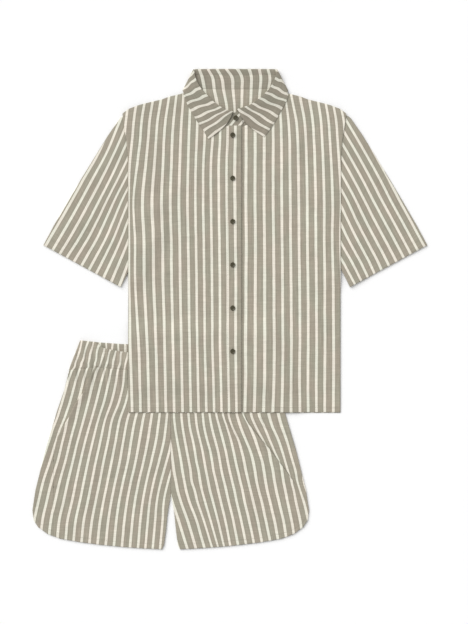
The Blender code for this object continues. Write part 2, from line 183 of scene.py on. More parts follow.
# Each leaf's stripes, as lines from the roll to the outer edge: x, y, x, y
LEAF_RIGHT = (
    (0.0867, 0.7144, 0.0972, 0.7029),
    (0.0846, 0.6987, 0.1056, 0.6819),
    (0.0731, 0.6808, 0.1077, 0.6630),
    (0.0594, 0.6651, 0.1004, 0.6493),
    (0.0458, 0.6514, 0.0930, 0.6357),
    (0.0321, 0.6399, 0.0825, 0.6199),
    (0.0195, 0.6336, 0.0741, 0.6063),
    (0.0048, 0.6346, 0.0657, 0.5916),
    (0.0279, 0.5979, 0.0563, 0.5769),
)
LEAF_LEFT = (
    (0.0834, 0.7008, 0.0981, 0.6945),
    (0.0760, 0.6850, 0.1117, 0.6661),
    (0.0655, 0.6703, 0.1044, 0.6546),
    (0.0519, 0.6588, 0.0970, 0.6388),
    (0.0361, 0.6483, 0.0918, 0.6210),
    (0.0204, 0.6420, 0.0802, 0.6073),
    (0.0057, 0.6368, 0.0697, 0.5947),
    (0.0230, 0.6010, 0.0603, 0.5800),
)
# Stripes seen inside the back of the collar: height, then millimetres from the centre
COLLAR_NUMBERS = (-4, -3, -2, -1, 0, 1, 2, 3)
COLLAR_INSIDE = (
    (0.678, -65.7, -44.7, -25.8, -5.9, 13.0, 31.9, 50.8, 68.7),
    (0.7095, -72.0, -51.0, -32.1, -10.1, 10.9, 31.9, 51.9, 70.8),
    (0.720, -76.2, -57.3, -38.4, -18.5, 4.6, 28.8, 49.8, 67.6),
)

# Sleeve, from the shoulder to the hem
SLEEVE_TOP = (
    (0.2220, 0.6310), (0.2410, 0.6190), (0.2668, 0.5821), (0.2863, 0.5506),
    (0.3250, 0.4876), (0.3438, 0.4561), (0.3805, 0.3931), (0.4024, 0.3515),
)
SLEEVE_UNDER = ((0.1880, 0.3680), (0.2410, 0.2640))
SLEEVE_LENGTH = 0.3330
TUCK_START = 0.2400  # within this x the sleeve lies on the back panel
TUCK_RUN = 0.0500
SLEEVE_IN = 0.0600  # how far in from the sleeve's inner edge the front starts to rise
SLEEVE_FROM = 0.2450  # height on the shirt where the front starts to rise onto the sleeve
SLEEVE_RUN = 0.0450

# How far the shirt rides over what lies under it
SHORTS_TOP = 0.1600
SHORTS_REACH = 0.0650
SHORTS_SLANT = 0.3100
SHORTS_RUN = 0.0450
OVER_LEGS = 0.0026
OVER_BAND = 0.0062
BAND_FROM = 0.0200  # from this height on the shirt it rises from the legs onto the casing
BAND_RUN = 0.0500
FALL_TOP = 0.6640
FALL_RUN = 0.0440
FALL_WIDE = 0.1220
OVER_BEFORE = 0.0160  # the right front rises onto the left one this far before its edge
OVER_RUN = 0.0140
LEAF_RUN = 0.0300

# Shorts: half of each outline, x, y
SHORTS_SIDE = (
    (0.2919, 0.0830), (0.2856, 0.1250), (0.2750, 0.1670), (0.2646, 0.2090),
    (0.2520, 0.2510), (0.2394, 0.2930), (0.2247, 0.3350), (0.2140, 0.3766),
)
SHORTS_INNER = (
    (0.0189, 0.0010), (0.0147, 0.0095), (0.0105, 0.0410), (0.0074, 0.0725),
    (0.0042, 0.0935), (0.0002, 0.1145), (0.0002, 0.3696),
)
SHORTS_HEM = (
    (0.0189, 0.0010), (0.0651, 0.0032), (0.1071, 0.0063), (0.1491, 0.0105),
    (0.1911, 0.0158), (0.2331, 0.0231), (0.2600, 0.0330), (0.2800, 0.0475),
    (0.2895, 0.0620), (0.2919, 0.0830),
)
BAND_WALL = 0.0020
BAND_LAYER = 0.0026
BAND_BOTTOM_WIDTH = 0.2140
BAND_TOP_WIDTH = 0.1900
BAND_BOTTOM = ((0, 0.3700), (0.0966, 0.3770), (0.1560, 0.3833), (0.2140, 0.3770))
BAND_TOP_BACK = ((0, 0.4285), (0.1070, 0.4316), (0.1490, 0.4347), (0.1900, 0.4393))
BAND_TOP_FRONT = (
    (0, 0.4040), (0.0882, 0.4137), (0.1176, 0.4180), (0.1407, 0.4230),
    (0.1600, 0.4355), (0.1900, 0.4393),
)
CASING_LAP = 0.0006  # how far a leg runs into the casing
# Stripes of the right leg, numbered from the centre seam: height, then millimetres out
LEG_NUMBERS = (1, 4, 7, 10, 13, 16, 18)
LEG_RIGHT = (
    (0.020, 22.5, 68.9, 119.7, 171.8, 222.2, 275.0, 308.0),
    (0.062, 18.7, 65.3, 115.7, 167.0, 218.2, 270.9, 305.0),
    (0.104, 16.0, 59.9, 109.6, 158.8, 208.5, 261.5, 296.0),
    (0.146, 6.5, 51.9, 101.0, 150.2, 199.9, 251.4, 286.0),
    (0.188, -6.0, 41.8, 91.4, 142.2, 190.9, 238.4, 271.0),
    (0.230, -17.0, 32.3, 84.8, 133.1, 180.8, 228.3, 257.3),
    (0.272, -21.0, 26.5, 76.9, 125.2, 168.8, 216.9, 247.8),
    (0.314, -22.0, 22.0, 66.0, 109.2, 157.1, 207.1, 239.4),
    (0.356, -22.0, 19.0, 60.0, 100.4, 146.6, 194.9, 226.0),
    (0.377, -22.0, 18.0, 58.0, 98.7, 140.3, 183.8, 214.0),
    (0.3875, -22.0, 17.4, 57.0, 96.6, 136.5, 176.8, 205.0),
    (0.398, -26.0, 14.5, 54.6, 94.7, 133.6, 172.0, 199.3),
    (0.414, -28.0, 11.0, 51.4, 91.8, 130.4, 169.1, 194.5),
    (0.434, -32.0, 6.5, 45.6, 84.6, 124.7, 163.6, 189.2),
)
LEG_LEFT_NUMBERS = (1, 3, 4, 5, 7, 10, 11, 12, 13, 14, 15, 16, 17)
LEG_LEFT = (
    (0.020, 28, 65, 81, 94, 121, 172, 189, 207, 224, 242, 259, 276, 294),
    (0.062, 15, 53, 68, 82, 113, 163, 181, 198, 216, 235, 252, 270, 287),
    (0.104, 1, 37, 54, 70, 103, 153, 171, 189, 206, 225, 243, 261, 277),
    (0.125, -5, 31, 49, 64, 98, 149, 166, 183, 201, 220, 239, 257, 270),
    (0.146, -9, 27, 42, 60, 93, 144, 161, 178, 197, 216, 235, 251, 264),
    (0.167, -13, 23, 40, 57, 88, 139, 156, 175, 194, 213, 231, 244, 260),
    (0.188, -15, 20, 36, 52, 85, 134, 152, 171, 190, 208, 225, 238, 254),
    (0.209, -16, 16, 32, 49, 81, 130, 147, 165, 183, 203, 215, 232, 248),
    (0.230, -18, 12, 28, 45, 75, 125, 141, 156, 176, 193, 206, 225, 242),
    (0.261, -20, 7, 23, 38, 68, 116, 126, 144, 162, 176, 194, 211, 231),
    (0.282, -21, 5, 21, 36, 66, 109, 120, 138, 151, 168, 184, 205, 225),
    (0.314, -22, 5, 20, 34, 62, 106, 118, 134, 150, 167, 183, 202, 221),
    (0.3875, -22, 4, 17, 31, 57, 97, 110, 123, 136, 150, 163, 176, 190),
    (0.434, -32, -6, 6, 20, 46, 85, 98, 111, 125, 138, 151, 164, 176),
)


def smooth(t):
    """0 below 0, 1 above 1, and an even S between them."""
    t = np.clip(t, 0.0, 1.0)
    return t * t * (3 - 2 * t)


def lerp(a, b, t):
    """a at 0 and b at 1, evenly between."""
    return a + (b - a) * t


def read(table, x):
    """The second column of a table of two at x in the first."""
    return np.interp(x, [row[0] for row in table], [row[1] for row in table])


def curve(knots, values, at):
    """A smooth curve through the values at the knots, straight past its ends."""
    knots, values = np.asarray(knots, float), np.asarray(values, float)
    slopes = np.gradient(values, knots)
    at = np.asarray(at, float)
    index = np.clip(np.searchsorted(knots, at) - 1, 0, len(knots) - 2)
    span = knots[index + 1] - knots[index]
    t = np.clip((at - knots[index]) / span, 0, 1)
    rise = values[index + 1] - values[index]
    bend = t * (1 - t) * ((1 - t) * (slopes[index] * span - rise) + t * (rise - slopes[index + 1] * span))
    past = np.where(at > knots[-1], (at - knots[-1]) * slopes[-1], 0)
    before = np.where(at < knots[0], (at - knots[0]) * slopes[0], 0)
    return values[index] + rise * t + bend + past + before


def along(points, shares):
    """The points at those shares of the way along a broken line, as two arrays."""
    points = np.asarray(points, float)
    steps = np.hypot(*np.diff(points, axis=0).T)
    reach = np.concatenate([[0], np.cumsum(steps)]) / steps.sum()
    return np.interp(shares, reach, points[:, 0]), np.interp(shares, reach, points[:, 1])


def stripe_at(table, numbers, side, x, y):
    """The stripe number at each place, from a table of how far out on one side the stripes are."""
    table = np.asarray(table, float)
    out = side * (x - STRIPE_SHIFT)
    y = y + STRIPE_SHIFT
    places = [curve(table[:, 0], table[:, 1 + k] / 1000, y) for k in range(len(numbers))]
    found = None
    for k in range(len(numbers) - 1):
        rate = (numbers[k + 1] - numbers[k]) / (places[k + 1] - places[k])
        value = numbers[k] + (out - places[k]) * rate
        found = value if found is None else np.where(out > places[k], value, found)
    return found


def fan_at(lines, x, y):
    """The stripe number at each place between lines that fan out, the first being stripe 0."""
    gaps = []
    for ax, ay, bx, by in lines:
        length = math.hypot(bx - ax, by - ay)
        gaps.append(((bx - ax) * (y - ay) - (by - ay) * (x - ax)) / -length)
    found = gaps[0] / (gaps[0] - gaps[1])
    for k in range(1, len(lines) - 1):
        found = np.where(gaps[k] > 0, k + gaps[k] / (gaps[k] - gaps[k + 1]), found)
    return found


def middle(level):
    """The height of the middle of that layer's wall."""
    return WALL / 2 + level * LAYER


def collar_rest(x, y):
    """How far the shirt is lifted by the collar's fall under the back of its neck."""
    across = smooth((FALL_WIDE + FALL_RUN - np.abs(x)) / FALL_RUN)
    return LAYER * across * smooth((y - FALL_TOP + FALL_RUN) / FALL_RUN)


def shirt_rest(x, y):
    """Height of what the back panel lies on: the shorts, the collar's fall or the surface."""
    reach = SHORTS_REACH + SHORTS_SLANT * (SHORTS_TOP - y)
    across = smooth((reach + SHORTS_RUN - x) / SHORTS_RUN)
    up = smooth((SHORTS_TOP + SHORTS_RUN - y) / SHORTS_RUN)
    band = smooth((y - BAND_FROM) / BAND_RUN)
    return lerp(OVER_LEGS, OVER_BAND, band) * across * up + collar_rest(x, y)


def sleeve_rest(x):
    """The sleeve rises onto the back panel where it goes in under the front."""
    return LAYER * smooth((TUCK_START + TUCK_RUN - np.abs(x)) / TUCK_RUN)


def over_sleeve(x, y):
    """How far the front is lifted by the two layers of the sleeve under its side."""
    under = SLEEVE_UNDER[0]
    foot = SLEEVE_FROM + SLEEVE_RUN
    inner = read(((foot, SIDE), (under[1], under[0]), (SLEEVE_TOP[0][1], SLEEVE_TOP[0][0])), y)
    across = smooth((np.abs(x) - inner + SLEEVE_IN) / SLEEVE_RUN)
    return 2 * LAYER * across * smooth((y - SLEEVE_FROM) / SLEEVE_RUN)


def over_level(x):
    """The layer of the right front, one higher where it laps over the left one."""
    return 1 + smooth((x - UNDER_EDGE + OVER_BEFORE) / OVER_RUN)


def leaf_level(x):
    """The layer of a collar leaf, one above the front that it lies on."""
    return 1 + over_level(x) - smooth((x - OVER_EDGE) / LEAF_RUN)


# Soft folds of each garment: x, y of both ends, half width, height, all in millimetres
SHIRT_FOLDS = (
    (-205, 400, -120, 470, 16, 1.6),
    (-215, 330, -150, 380, 14, 1.2),
    (-190, 250, -160, 90, 22, 1.6),
    (-130, 60, -118, 210, 20, 1.3),
    (-75, 30, -85, 330, 24, 1.2),
    (-60, 420, -95, 560, 18, 1.1),
    (-160, 600, -110, 500, 16, 1.2),
    (60, 60, 72, 300, 22, 1.4),
    (120, 20, 108, 190, 20, 1.5),
    (175, 60, 165, 300, 22, 1.6),
    (210, 410, 130, 500, 16, 1.6),
    (215, 340, 150, 400, 14, 1.1),
    (70, 400, 60, 560, 20, 1.0),
    (150, 610, 110, 520, 16, 1.2),
    (40, 330, 30, 480, 16, 0.9),
)
SLEEVE_FOLDS = (
    (232, 420, 285, 330, 12, 1.4),
    (240, 500, 330, 380, 16, 1.5),
    (300, 480, 370, 350, 16, 1.2),
    (245, 570, 300, 470, 14, 1.3),
    (230, 340, 265, 290, 10, 1.0),
)
SHORTS_FOLDS = (
    (-60, 250, -95, 120, 16, 1.3),
    (-150, 200, -190, 60, 18, 1.3),
    (-20, 220, -60, 60, 14, 1.2),
    (60, 200, 90, 60, 18, 1.2),
    (150, 170, 175, 40, 16, 1.2),
    (225, 180, 255, 70, 14, 1.1),
    (15, 250, 40, 130, 12, 1.2),
)

# Sharp creases of the left leg, as broken lines: millimetres out, millimetres up
SHORTS_CREASES = (
    ((108, 285), (124, 257), (144, 230), (165, 209)),
    ((183, 285), (193, 264), (212, 249), (227, 230)),
)
CREASE_HALF = 0.0022
CREASE_HEIGHT = 0.0034
HEM_CROSSES = 0.2920  # the shirt's hem presses the folds flat above this height
PRESS_RUN = 0.0200


def beside(ax, ay, bx, by, x, y):
    """The share of the way along a line that each place is at, and its distance from the line."""
    reach = (bx - ax) ** 2 + (by - ay) ** 2
    t = np.clip(((x - ax) * (bx - ax) + (y - ay) * (by - ay)) / reach, 0, 1)
    return t, np.hypot(x - lerp(ax, bx, t), y - lerp(ay, by, t))


def crease(lines, x, y):
    """Ridges that run to an edge along broken lines and fade out at their lower ends."""
    lift = np.zeros_like(x)
    for line in lines:
        line = np.asarray(line, float) / 1000
        ridge = np.zeros_like(x)
        for k, (start, end) in enumerate(zip(line[:-1], line[1:])):
            t, away = beside(*start, *end, x, y)
            fade = 1 - ((k + t) / (len(line) - 1)) ** 3
            ridge = np.maximum(ridge, fade * np.exp(-away / CREASE_HALF))
        lift += CREASE_HEIGHT * ridge
    return lift


def relief(folds, x, y):
    """Soft ridges with round ends, which lift every layer alike."""
    lift = np.zeros_like(x)
    for *line, half, height in np.asarray(folds, float) / 1000:
        t, away = beside(*line, x, y)
        taper = 0.35 + 0.65 * np.sin(np.pi * np.clip(t, 0.06, 0.94))
        lift += height * taper * np.exp(-((away / half) ** 2))
    return lift


def shorts_relief(x, y):
    """The shorts' folds, pressed flat above the line where the shirt's hem crosses them."""
    lift = relief(SHORTS_FOLDS, x, y) + crease(SHORTS_CREASES, x, y)
    return lift * smooth((HEM_CROSSES - y) / PRESS_RUN)


# Materials


def plug(tree, made, values):
    """Links the values that are outputs of other nodes, and sets the rest on their sockets."""
    for key, value in values.items():
        if hasattr(value, "is_output"):
            tree.links.new(value, made.inputs[key])
        else:
            made.inputs[key].default_value = value


def node(tree, kind, values=(), **settings):
    """A new node with those settings and inputs."""
    made = tree.nodes.new(kind)
    for key, value in settings.items():
        setattr(made, key, value)
    plug(tree, made, dict(values))
    return made


def maths(tree, operation, a, b=0.0, c=0.0):
    """One sum in the shader."""
    return node(tree, "ShaderNodeMath", {0: a, 1: b, 2: c}, operation=operation).outputs[0]


def stretch(tree, vector, scale):
    """The coordinates times a scale in each direction."""
    return node(tree, "ShaderNodeMapping", {"Vector": vector, "Scale": scale}).outputs[0]


def grain(tree, vector, scale, detail=2.0):
    """Noise from 0 to 1."""
    values = {"Vector": vector, "Scale": scale, "Detail": detail}
    return node(tree, "ShaderNodeTexNoise", values).outputs[0]


def ramp(tree, value, low, high, to_low=0.0, to_high=1.0):
    """A smooth passage from one pair of values to another."""
    values = {0: value, 1: low, 2: high, 3: to_low, 4: to_high}
    return node(tree, "ShaderNodeMapRange", values, interpolation_type="SMOOTHSTEP").outputs[0]


def blend_colour(tree, share, a, b, how="MIX"):
    """Two colours mixed by a share, or multiplied."""
    made = node(tree, "ShaderNodeMix", {0: share, 6: a, 7: b}, data_type="RGBA", blend_type=how)
    return made.outputs[2]


def bump_of(tree, height, strength, distance, below=()):
    """The normal of a surface raised by a height, over another normal if one is given."""
    values = {"Height": height, "Strength": strength, "Distance": distance, **dict(below)}
    return node(tree, "ShaderNodeBump", values).outputs[0]


def scale_tone(tree, tone, pattern, low, high):
    """The tone times a pattern that runs from low to high."""
    return maths(tree, "MULTIPLY", tone, maths(tree, "MULTIPLY_ADD", pattern, high - low, low))


def new_material(name):
    """A material, its nodes and its shader."""
    made = bpy.data.materials.new(name)
    made.use_nodes = True
    return made, made.node_tree, made.node_tree.nodes["Principled BSDF"]


GROUND = (0.317, 0.290, 0.230, 1)
LIGHT_GROUND = (0.389, 0.355, 0.288, 1)
WHITE = (0.782, 0.750, 0.657, 1)
DARK_THREAD = (0.275, 0.250, 0.195, 1)
GREENER = (0.975, 1.005, 0.985, 1)
BROWNER = (1.025, 0.992, 0.985, 1)
SEWING_THREAD = ((0.310, 0.280, 0.220, 1), (0.420, 0.385, 0.310, 1))
RESIN = ((0.030, 0.026, 0.013, 1), (0.105, 0.094, 0.050, 1))
COLLAR_PAINTED_SHADE = 0.84  # painted shade: the collar's ground is darkened to this share, its cream stripes to the square root
STRIPE_EDGE = (0.172, 0.142)  # cream ends and is full this share of a pitch from its middle
BORDER = ((0.17, 0.20), (0.31, 0.24))  # where the darker ground beside a stripe comes and goes
THREADS = 38  # warp threads in a stripe's pitch
WEFT = 2150  # weft threads in a metre


def make_cotton(name="cotton", shade=1.0):
    """Plain-woven cotton: a dull green-brown ground with cream stripes."""
    made, tree, shader = new_material(name)
    uv = node(tree, "ShaderNodeUVMap", uv_map="cloth").outputs[0]
    split = node(tree, "ShaderNodeSeparateXYZ", {0: uv})
    across, length = split.outputs[0], split.outputs[1]
    evenly = stretch(tree, uv, (STRIPE_PITCH, 1, 1))  # the same cloth in metres

    wander = grain(tree, stretch(tree, uv, (0.7, 45, 1)), 1.0)
    number = maths(tree, "ADD", across, maths(tree, "MULTIPLY_ADD", wander, 0.05, -0.025))
    away = maths(tree, "PINGPONG", number, 0.5)
    stripe = ramp(tree, away, *STRIPE_EDGE)
    border = maths(tree, "MULTIPLY", ramp(tree, away, *BORDER[0]), ramp(tree, away, *BORDER[1]))

    warp = grain(tree, stretch(tree, uv, (THREADS, 22, 1)), 1.0, 3.0)
    weft = grain(tree, stretch(tree, uv, (0.9, 1100, 1)), 1.0, 3.0)
    slubs = grain(tree, stretch(tree, uv, (0.5, 330, 1)), 1.0, 2.0)
    streaks = grain(tree, stretch(tree, uv, (8, 16, 1)), 1.0, 2.0)
    patches = grain(tree, evenly, 26.0, 3.0)
    ground = blend_colour(tree, ramp(tree, warp, 0.3, 0.72), GROUND, LIGHT_GROUND)
    ground = blend_colour(tree, maths(tree, "MULTIPLY", border, 0.30), ground, DARK_THREAD)
    cloth = blend_colour(tree, stripe, ground, WHITE)
    hue = grain(tree, stretch(tree, uv, (0.8, 14, 1)), 1.0, 3.0)
    leaning = blend_colour(tree, ramp(tree, hue, 0.35, 0.65), GREENER, BROWNER)
    cloth = blend_colour(tree, 1.0, cloth, leaning, "MULTIPLY")
    tone = maths(tree, "MULTIPLY_ADD", weft, 0.30, 0.85)
    tone = scale_tone(tree, tone, patches, 0.92, 1.08)
    tone = scale_tone(tree, tone, slubs, 0.83, 1.17)
    tone = scale_tone(tree, tone, streaks, 0.84, 1.16)
    # painted shade: the ground darkens by the shade, the cream stripes by its square root
    tone = maths(tree, "MULTIPLY", tone, ramp(tree, stripe, 0, 1, shade, math.sqrt(shade)))
    tint = node(tree, "ShaderNodeCombineColor", {0: tone, 1: tone, 2: tone}).outputs[0]
    cloth = blend_colour(tree, 1.0, cloth, tint, "MULTIPLY")

    over = maths(tree, "SINE", maths(tree, "MULTIPLY", across, math.tau * THREADS))
    under = maths(tree, "SINE", maths(tree, "MULTIPLY", length, math.tau * WEFT))
    weave = maths(tree, "MULTIPLY", over, under)
    height = maths(tree, "MULTIPLY_ADD", weave, 0.5, maths(tree, "MULTIPLY", warp, 0.8))
    height = maths(tree, "ADD", height, maths(tree, "MULTIPLY", weft, 0.8))
    fine = bump_of(tree, height, 0.35, 0.00012)
    rumple = grain(tree, evenly, 70.0, 2.0)
    bump = bump_of(tree, rumple, 0.45, 0.0012, {"Normal": fine})
    rough = maths(tree, "MULTIPLY_ADD", weft, 0.16, 0.78)
    plug(tree, shader, {"Base Color": cloth, "Normal": bump, "Roughness": rough})
    plug(tree, shader, {"Specular IOR Level": 0.2, "Sheen Weight": 0.12, "Sheen Roughness": 0.5})
    return made


def make_thread():
    """Twisted sewing thread, a little darker than the cloth."""
    made, tree, shader = new_material("thread")
    place = node(tree, "ShaderNodeTexCoord").outputs["Object"]
    wave = node(tree, "ShaderNodeTexWave", {"Vector": place, "Scale": 900.0, "Distortion": 2.0})
    twist = wave.outputs[1]
    colour = blend_colour(tree, twist, *SEWING_THREAD)
    bump = bump_of(tree, twist, 0.4, 0.0001)
    rough = ramp(tree, twist, 0, 1, 0.55, 0.75)
    plug(tree, shader, {"Base Color": colour, "Normal": bump, "Roughness": rough})
    return made


def make_button_finish():
    """Dark olive resin with faint swirls and fine scuffs."""
    made, tree, shader = new_material("button")
    place = node(tree, "ShaderNodeTexCoord").outputs["Object"]
    swirls = {"Vector": place, "Scale": 260.0, "Detail": 5.0, "Distortion": 2.5}
    swirl = node(tree, "ShaderNodeTexNoise", swirls).outputs[0]
    colour = blend_colour(tree, swirl, *RESIN)
    scuff = grain(tree, place, 2400.0, 3.0)
    rough = ramp(tree, scuff, 0.3, 0.8, 0.30, 0.50)
    bump = bump_of(tree, scuff, 0.15, 0.00005)
    plug(tree, shader, {"Base Color": colour, "Normal": bump, "Roughness": rough})
    plug(tree, shader, {"Specular IOR Level": 0.35, "Coat Weight": 0.12, "Coat Roughness": 0.2})
    return made


cotton = make_cotton()
# the stand and the fall get a copy of the cotton darkened with painted shade
painted_shade_collar_cotton = make_cotton("painted_shade_collar_cotton", COLLAR_PAINTED_SHADE)
thread = make_thread()
button_finish = make_button_finish()


# Shells


def add(name, mesh):
    """A new object in the scene."""
    piece = bpy.data.objects.new(name, mesh)
    bpy.context.scene.collection.objects.link(piece)
    return piece


def stands_for(piece, slot, *nodes):
    """The piece goes with the root and takes those nodes' place."""
    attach(piece, "root")
    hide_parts(*nodes)


surfaces = {}  # each shell's points and wall, for what is sewn to it


def shell(name, x, y, z, number, length, at, ring=False, ply=None, wall=CLOTH, finish=None):
    """A piece of cloth in its solid's place: a grid of points through its middle, and its wall.

    On a ring the two cloth coordinates have one column more than the points."""
    rows, count = x.shape
    across = count if ring else count - 1
    points = np.stack([x + at[0], y + at[1], z], axis=-1).reshape(-1, 3)
    r, c = np.meshgrid(np.arange(rows - 1), np.arange(across), indexing="ij")
    right = (c + 1) % count
    corners = [(r, c, c), (r, right, c + 1), (r + 1, right, c + 1), (r + 1, c, c)]
    faces = np.stack([row * count + column for row, column, _ in corners], axis=-1).reshape(-1, 4)
    mesh = bpy.data.meshes.new(name + "_cloth")
    mesh.from_pydata(points.tolist(), [], faces.tolist())
    layer = mesh.uv_layers.new(name="cloth")
    if number.ndim == 2:
        number = np.stack([number[row, column] for row, _, column in corners], axis=-1)
    pairs = []
    for k, (row, _, column) in enumerate(corners):
        pairs.append(np.stack([number[..., k], length[row, column]], axis=-1))
    layer.data.foreach_set("uv", np.stack(pairs, axis=2).reshape(-1).astype(np.float32))
    mesh.shade_smooth()
    mesh.materials.append(finish or cotton)
    piece = add(name + "_cloth", mesh)
    solid = piece.modifiers.new("wall", "SOLIDIFY")
    solid.offset = 0
    solid.thickness = wall
    if ply is not None:
        group = piece.vertex_groups.new(name="ply")
        solid.thickness = wall * HEM
        solid.vertex_group = "ply"
        solid.thickness_vertex_group = 1 / HEM
        flat = ply.reshape(-1)
        for level in np.unique(np.round(flat, 1)):
            chosen = np.flatnonzero(np.round(flat, 1) == level)
            group.add(chosen.tolist(), float(level), "REPLACE")
    piece.modifiers.new("shading", "WEIGHTED_NORMAL")
    surfaces[name] = points.reshape(rows, count, 3), solid.thickness
    stands_for(piece, "cotton", name)
    return piece


HEM_ROWS = (0, 0.0007, 0.0018, 0.0040)  # rows close to a hem, where it rolls down
EVEN_FROM = 0.0080  # above this the rows are even
ROLL = 0.00015  # an edge rolls down this far, over ROLL_RUN
ROLL_RUN = 0.0025
BACK_TRIM = 0.0002  # the back's hem shows a little below the fronts', which end this much higher
FRONT_TRIM = 0.0013
TRIM_RUN = 0.0300
HEM_SETTLE = 0.0008  # the fronts come down on the back at the hem
SETTLE_RUN = 0.0200
NECK_LAP = 0.0015  # a panel's neckline runs this far up under the collar stand
NECK_DIP = 0.0004  # and lies this much lower there
SIDE_JOIN = 0.0004  # at a sewn side the back rises and the front comes down this far
HEM_DEEP = 0.0120  # the double cloth of the shirt's hem
PLACKET = 0.0300  # and of its button edge
PLY_RUN = 0.0020  # double cloth thins to single over this distance


def roll_down(distance):
    """How far cloth is below its own level, close to an edge."""
    return ROLL * (1 - smooth(distance / ROLL_RUN)) ** 1.5


def settle(y):
    """How far a front is below its own level near the hem."""
    return roll_down(y - FRONT_TRIM) + HEM_SETTLE * (1 - smooth(y / SETTLE_RUN))


def body_grid(low, high, neckline, step, trim):
    """x and y of a panel's points, from the hem to the shoulder and neckline."""
    columns = np.linspace(low, high, int(round((high - low) / step)) + 1)
    outer = ARMHOLE[-1][1]

    def spread(column, half):
        out = NECK + (np.abs(column) - NECK) / (SIDE - NECK) * (half - NECK)
        return np.where(np.abs(column) <= NECK, column, np.copysign(out, column))

    across = np.abs(spread(columns, outer))
    top = np.where(across >= NECK, read(SHOULDER, across), read(neckline, across))
    straight = np.concatenate([HEM_ROWS, np.linspace(EVEN_FROM, STRAIGHT, 126)])
    rise = np.linspace(0, 1, 43)[1:]
    straight = np.repeat(straight[:, None], len(columns), 1)
    y = np.concatenate([straight, lerp(STRAIGHT, top[None], rise[:, None])])
    half = np.where(y < ARMHOLE[0][0] - 0.1, SIDE, read(ARMHOLE, y))
    x = spread(np.repeat(columns[None], len(y), 0), half)
    x -= SIDE_SHIFT * smooth((np.abs(x) - NECK) / (SIDE - NECK))
    y = y + trim * (1 - smooth(y / TRIM_RUN))
    lap = NECK_LAP * smooth((y - top[None] + 0.006) / 0.006)
    return x, y + np.where(np.abs(x) < NECK, lap, 0)


def under_stand(x, y, neckline):
    """How far a panel dips to pass under the edge of the collar stand."""
    near = smooth((y - read(neckline, np.abs(x)) + 0.003) / 0.003)
    return np.where(np.abs(x) < NECK, NECK_DIP * near, 0)


def side_curl(x, y):
    """0 on the panel and 1 at its sewn side below the sleeve."""
    near = smooth((np.abs(x) - SIDE + 0.005) / 0.005)
    return near * smooth((0.30 - y) / 0.05)


def make_panel(name, edges, neckline, step, trim, table, numbers, side=1):
    """The back, or a front, which lies on the back and on the inner ends of the sleeves."""
    x, y = body_grid(*edges, neckline, step, trim)
    z = shirt_rest(x, y) + relief(SHIRT_FOLDS, x, y) - under_stand(x, y, neckline)
    join = SIDE_JOIN * side_curl(x, y)
    if name == "shirt_back":
        z += middle(0) + join
    else:
        level = over_level(x) if side < 0 else 1
        z += middle(level) + over_sleeve(x, y) - settle(y) - join
    ply = 1 - smooth((y - HEM_DEEP) / PLY_RUN)
    if side < 0:
        ply = np.maximum(ply, smooth((x - OVER_EDGE + PLACKET) / PLY_RUN))
    number = side * stripe_at(table, numbers, side, x, y)
    return shell(name, x, y, z, number, y, SHIRT_AT, ply=ply)


def tube_section(across, turn):
    """Round a flat tube: share of the way across, bulge at the folds, height from the middle."""
    ease = np.linspace(0, np.pi, turn + 2)[1:-1]
    over, still = np.linspace(0, 1, across), np.zeros(across)
    reach = [over, 1 + 0 * ease, over[::-1], 0 * ease]
    bulge = [still, np.sin(ease), still, -np.sin(ease)]
    rise = [1 + still, np.cos(ease), still - 1, -np.cos(ease)]
    return (np.concatenate(part)[None] for part in (reach, bulge, rise))


SLEEVE_HEM = 0.93  # share of the sleeve's length where its hem starts
SLEEVE_LINE = 0.945  # and where its stitches are


def make_sleeve(name, side, table):
    """A tube that lies flat, round its upper and its under fold."""
    rows, across, turn = 96, 64, 7
    fold = LAYER / 2
    share = np.linspace(0, 1, rows)
    top = np.stack(along(SLEEVE_TOP, share), axis=-1)[:, None]
    under = np.stack(along(SLEEVE_UNDER, share), axis=-1)[:, None]
    width = np.linalg.norm(top - under, axis=-1)
    reach, bulge, rise = tube_section(across, turn)
    t = fold / width + reach * (1 - 2 * fold / width) + bulge * fold / width
    flat = top + (under - top) * t[..., None]
    x, y = flat[..., 0], flat[..., 1]
    z = middle(0.5) + rise * fold + sleeve_rest(x) + relief(SLEEVE_FOLDS, x, y)
    number = stripe_at(table, SLEEVE_NUMBERS, side, side * x, y)
    # The back layer goes on counting round the under fold and back towards the top fold
    edge = number[:, across - 1, None]
    start = number[:, :1]
    behind = np.arange(t.shape[1]) >= across + turn // 2
    number = np.where(behind[None], 2 * edge - number, number)
    number = np.concatenate([number, 2 * edge - start], axis=1)
    length = share[:, None] * SLEEVE_LENGTH + 0 * number
    ply = np.repeat(smooth((share[:, None] - SLEEVE_HEM) / 0.008), t.shape[1], axis=1)
    return shell(name, side * x, y, z, number, length, SHIRT_AT, ring=True, ply=ply)


def refine(net, down, across):
    """A smooth surface through a net of points, with that many steps in each span."""
    def once(values, steps):
        knots = np.arange(len(values))
        at = np.linspace(0, len(values) - 1, (len(values) - 1) * steps + 1)
        flat = values.reshape(len(values), -1)
        made = np.stack([curve(knots, column, at) for column in flat.T], axis=-1)
        return made.reshape(len(at), *values.shape[1:])

    net = once(np.asarray(net, float), down)
    return once(net.swapaxes(0, 1), across).swapaxes(0, 1)


def collar_stations():
    """(side, place, neck, roll, edge) round the collar, from the right front to the left."""
    stations = []
    for side, leaf in ((-1, COLLAR_RIGHT), (1, COLLAR_LEFT)):
        half = [("back", row) for row in COLLAR_BACK]
        half += [("side", COLLAR_SIDE)]
        half += [("front", row) for row in leaf]
        half = half[::-1] if side < 0 else half[1:]
        for place, (ax, ay, cx, cy, dx, dy) in half:
            pair = [np.array((side * px, py)) for px, py in ((ax, ay), (cx, cy), (dx, dy))]
            stations.append((side, place, *pair))
    return stations


def stand_height(side, place, x, y):
    """The height of the middle of the stand at that place round the collar."""
    if place == "back":
        return middle(1)
    if place == "side":
        return middle(1.5)
    level = over_level(x) if side < 0 else 1
    return middle(level) + collar_rest(x, y)


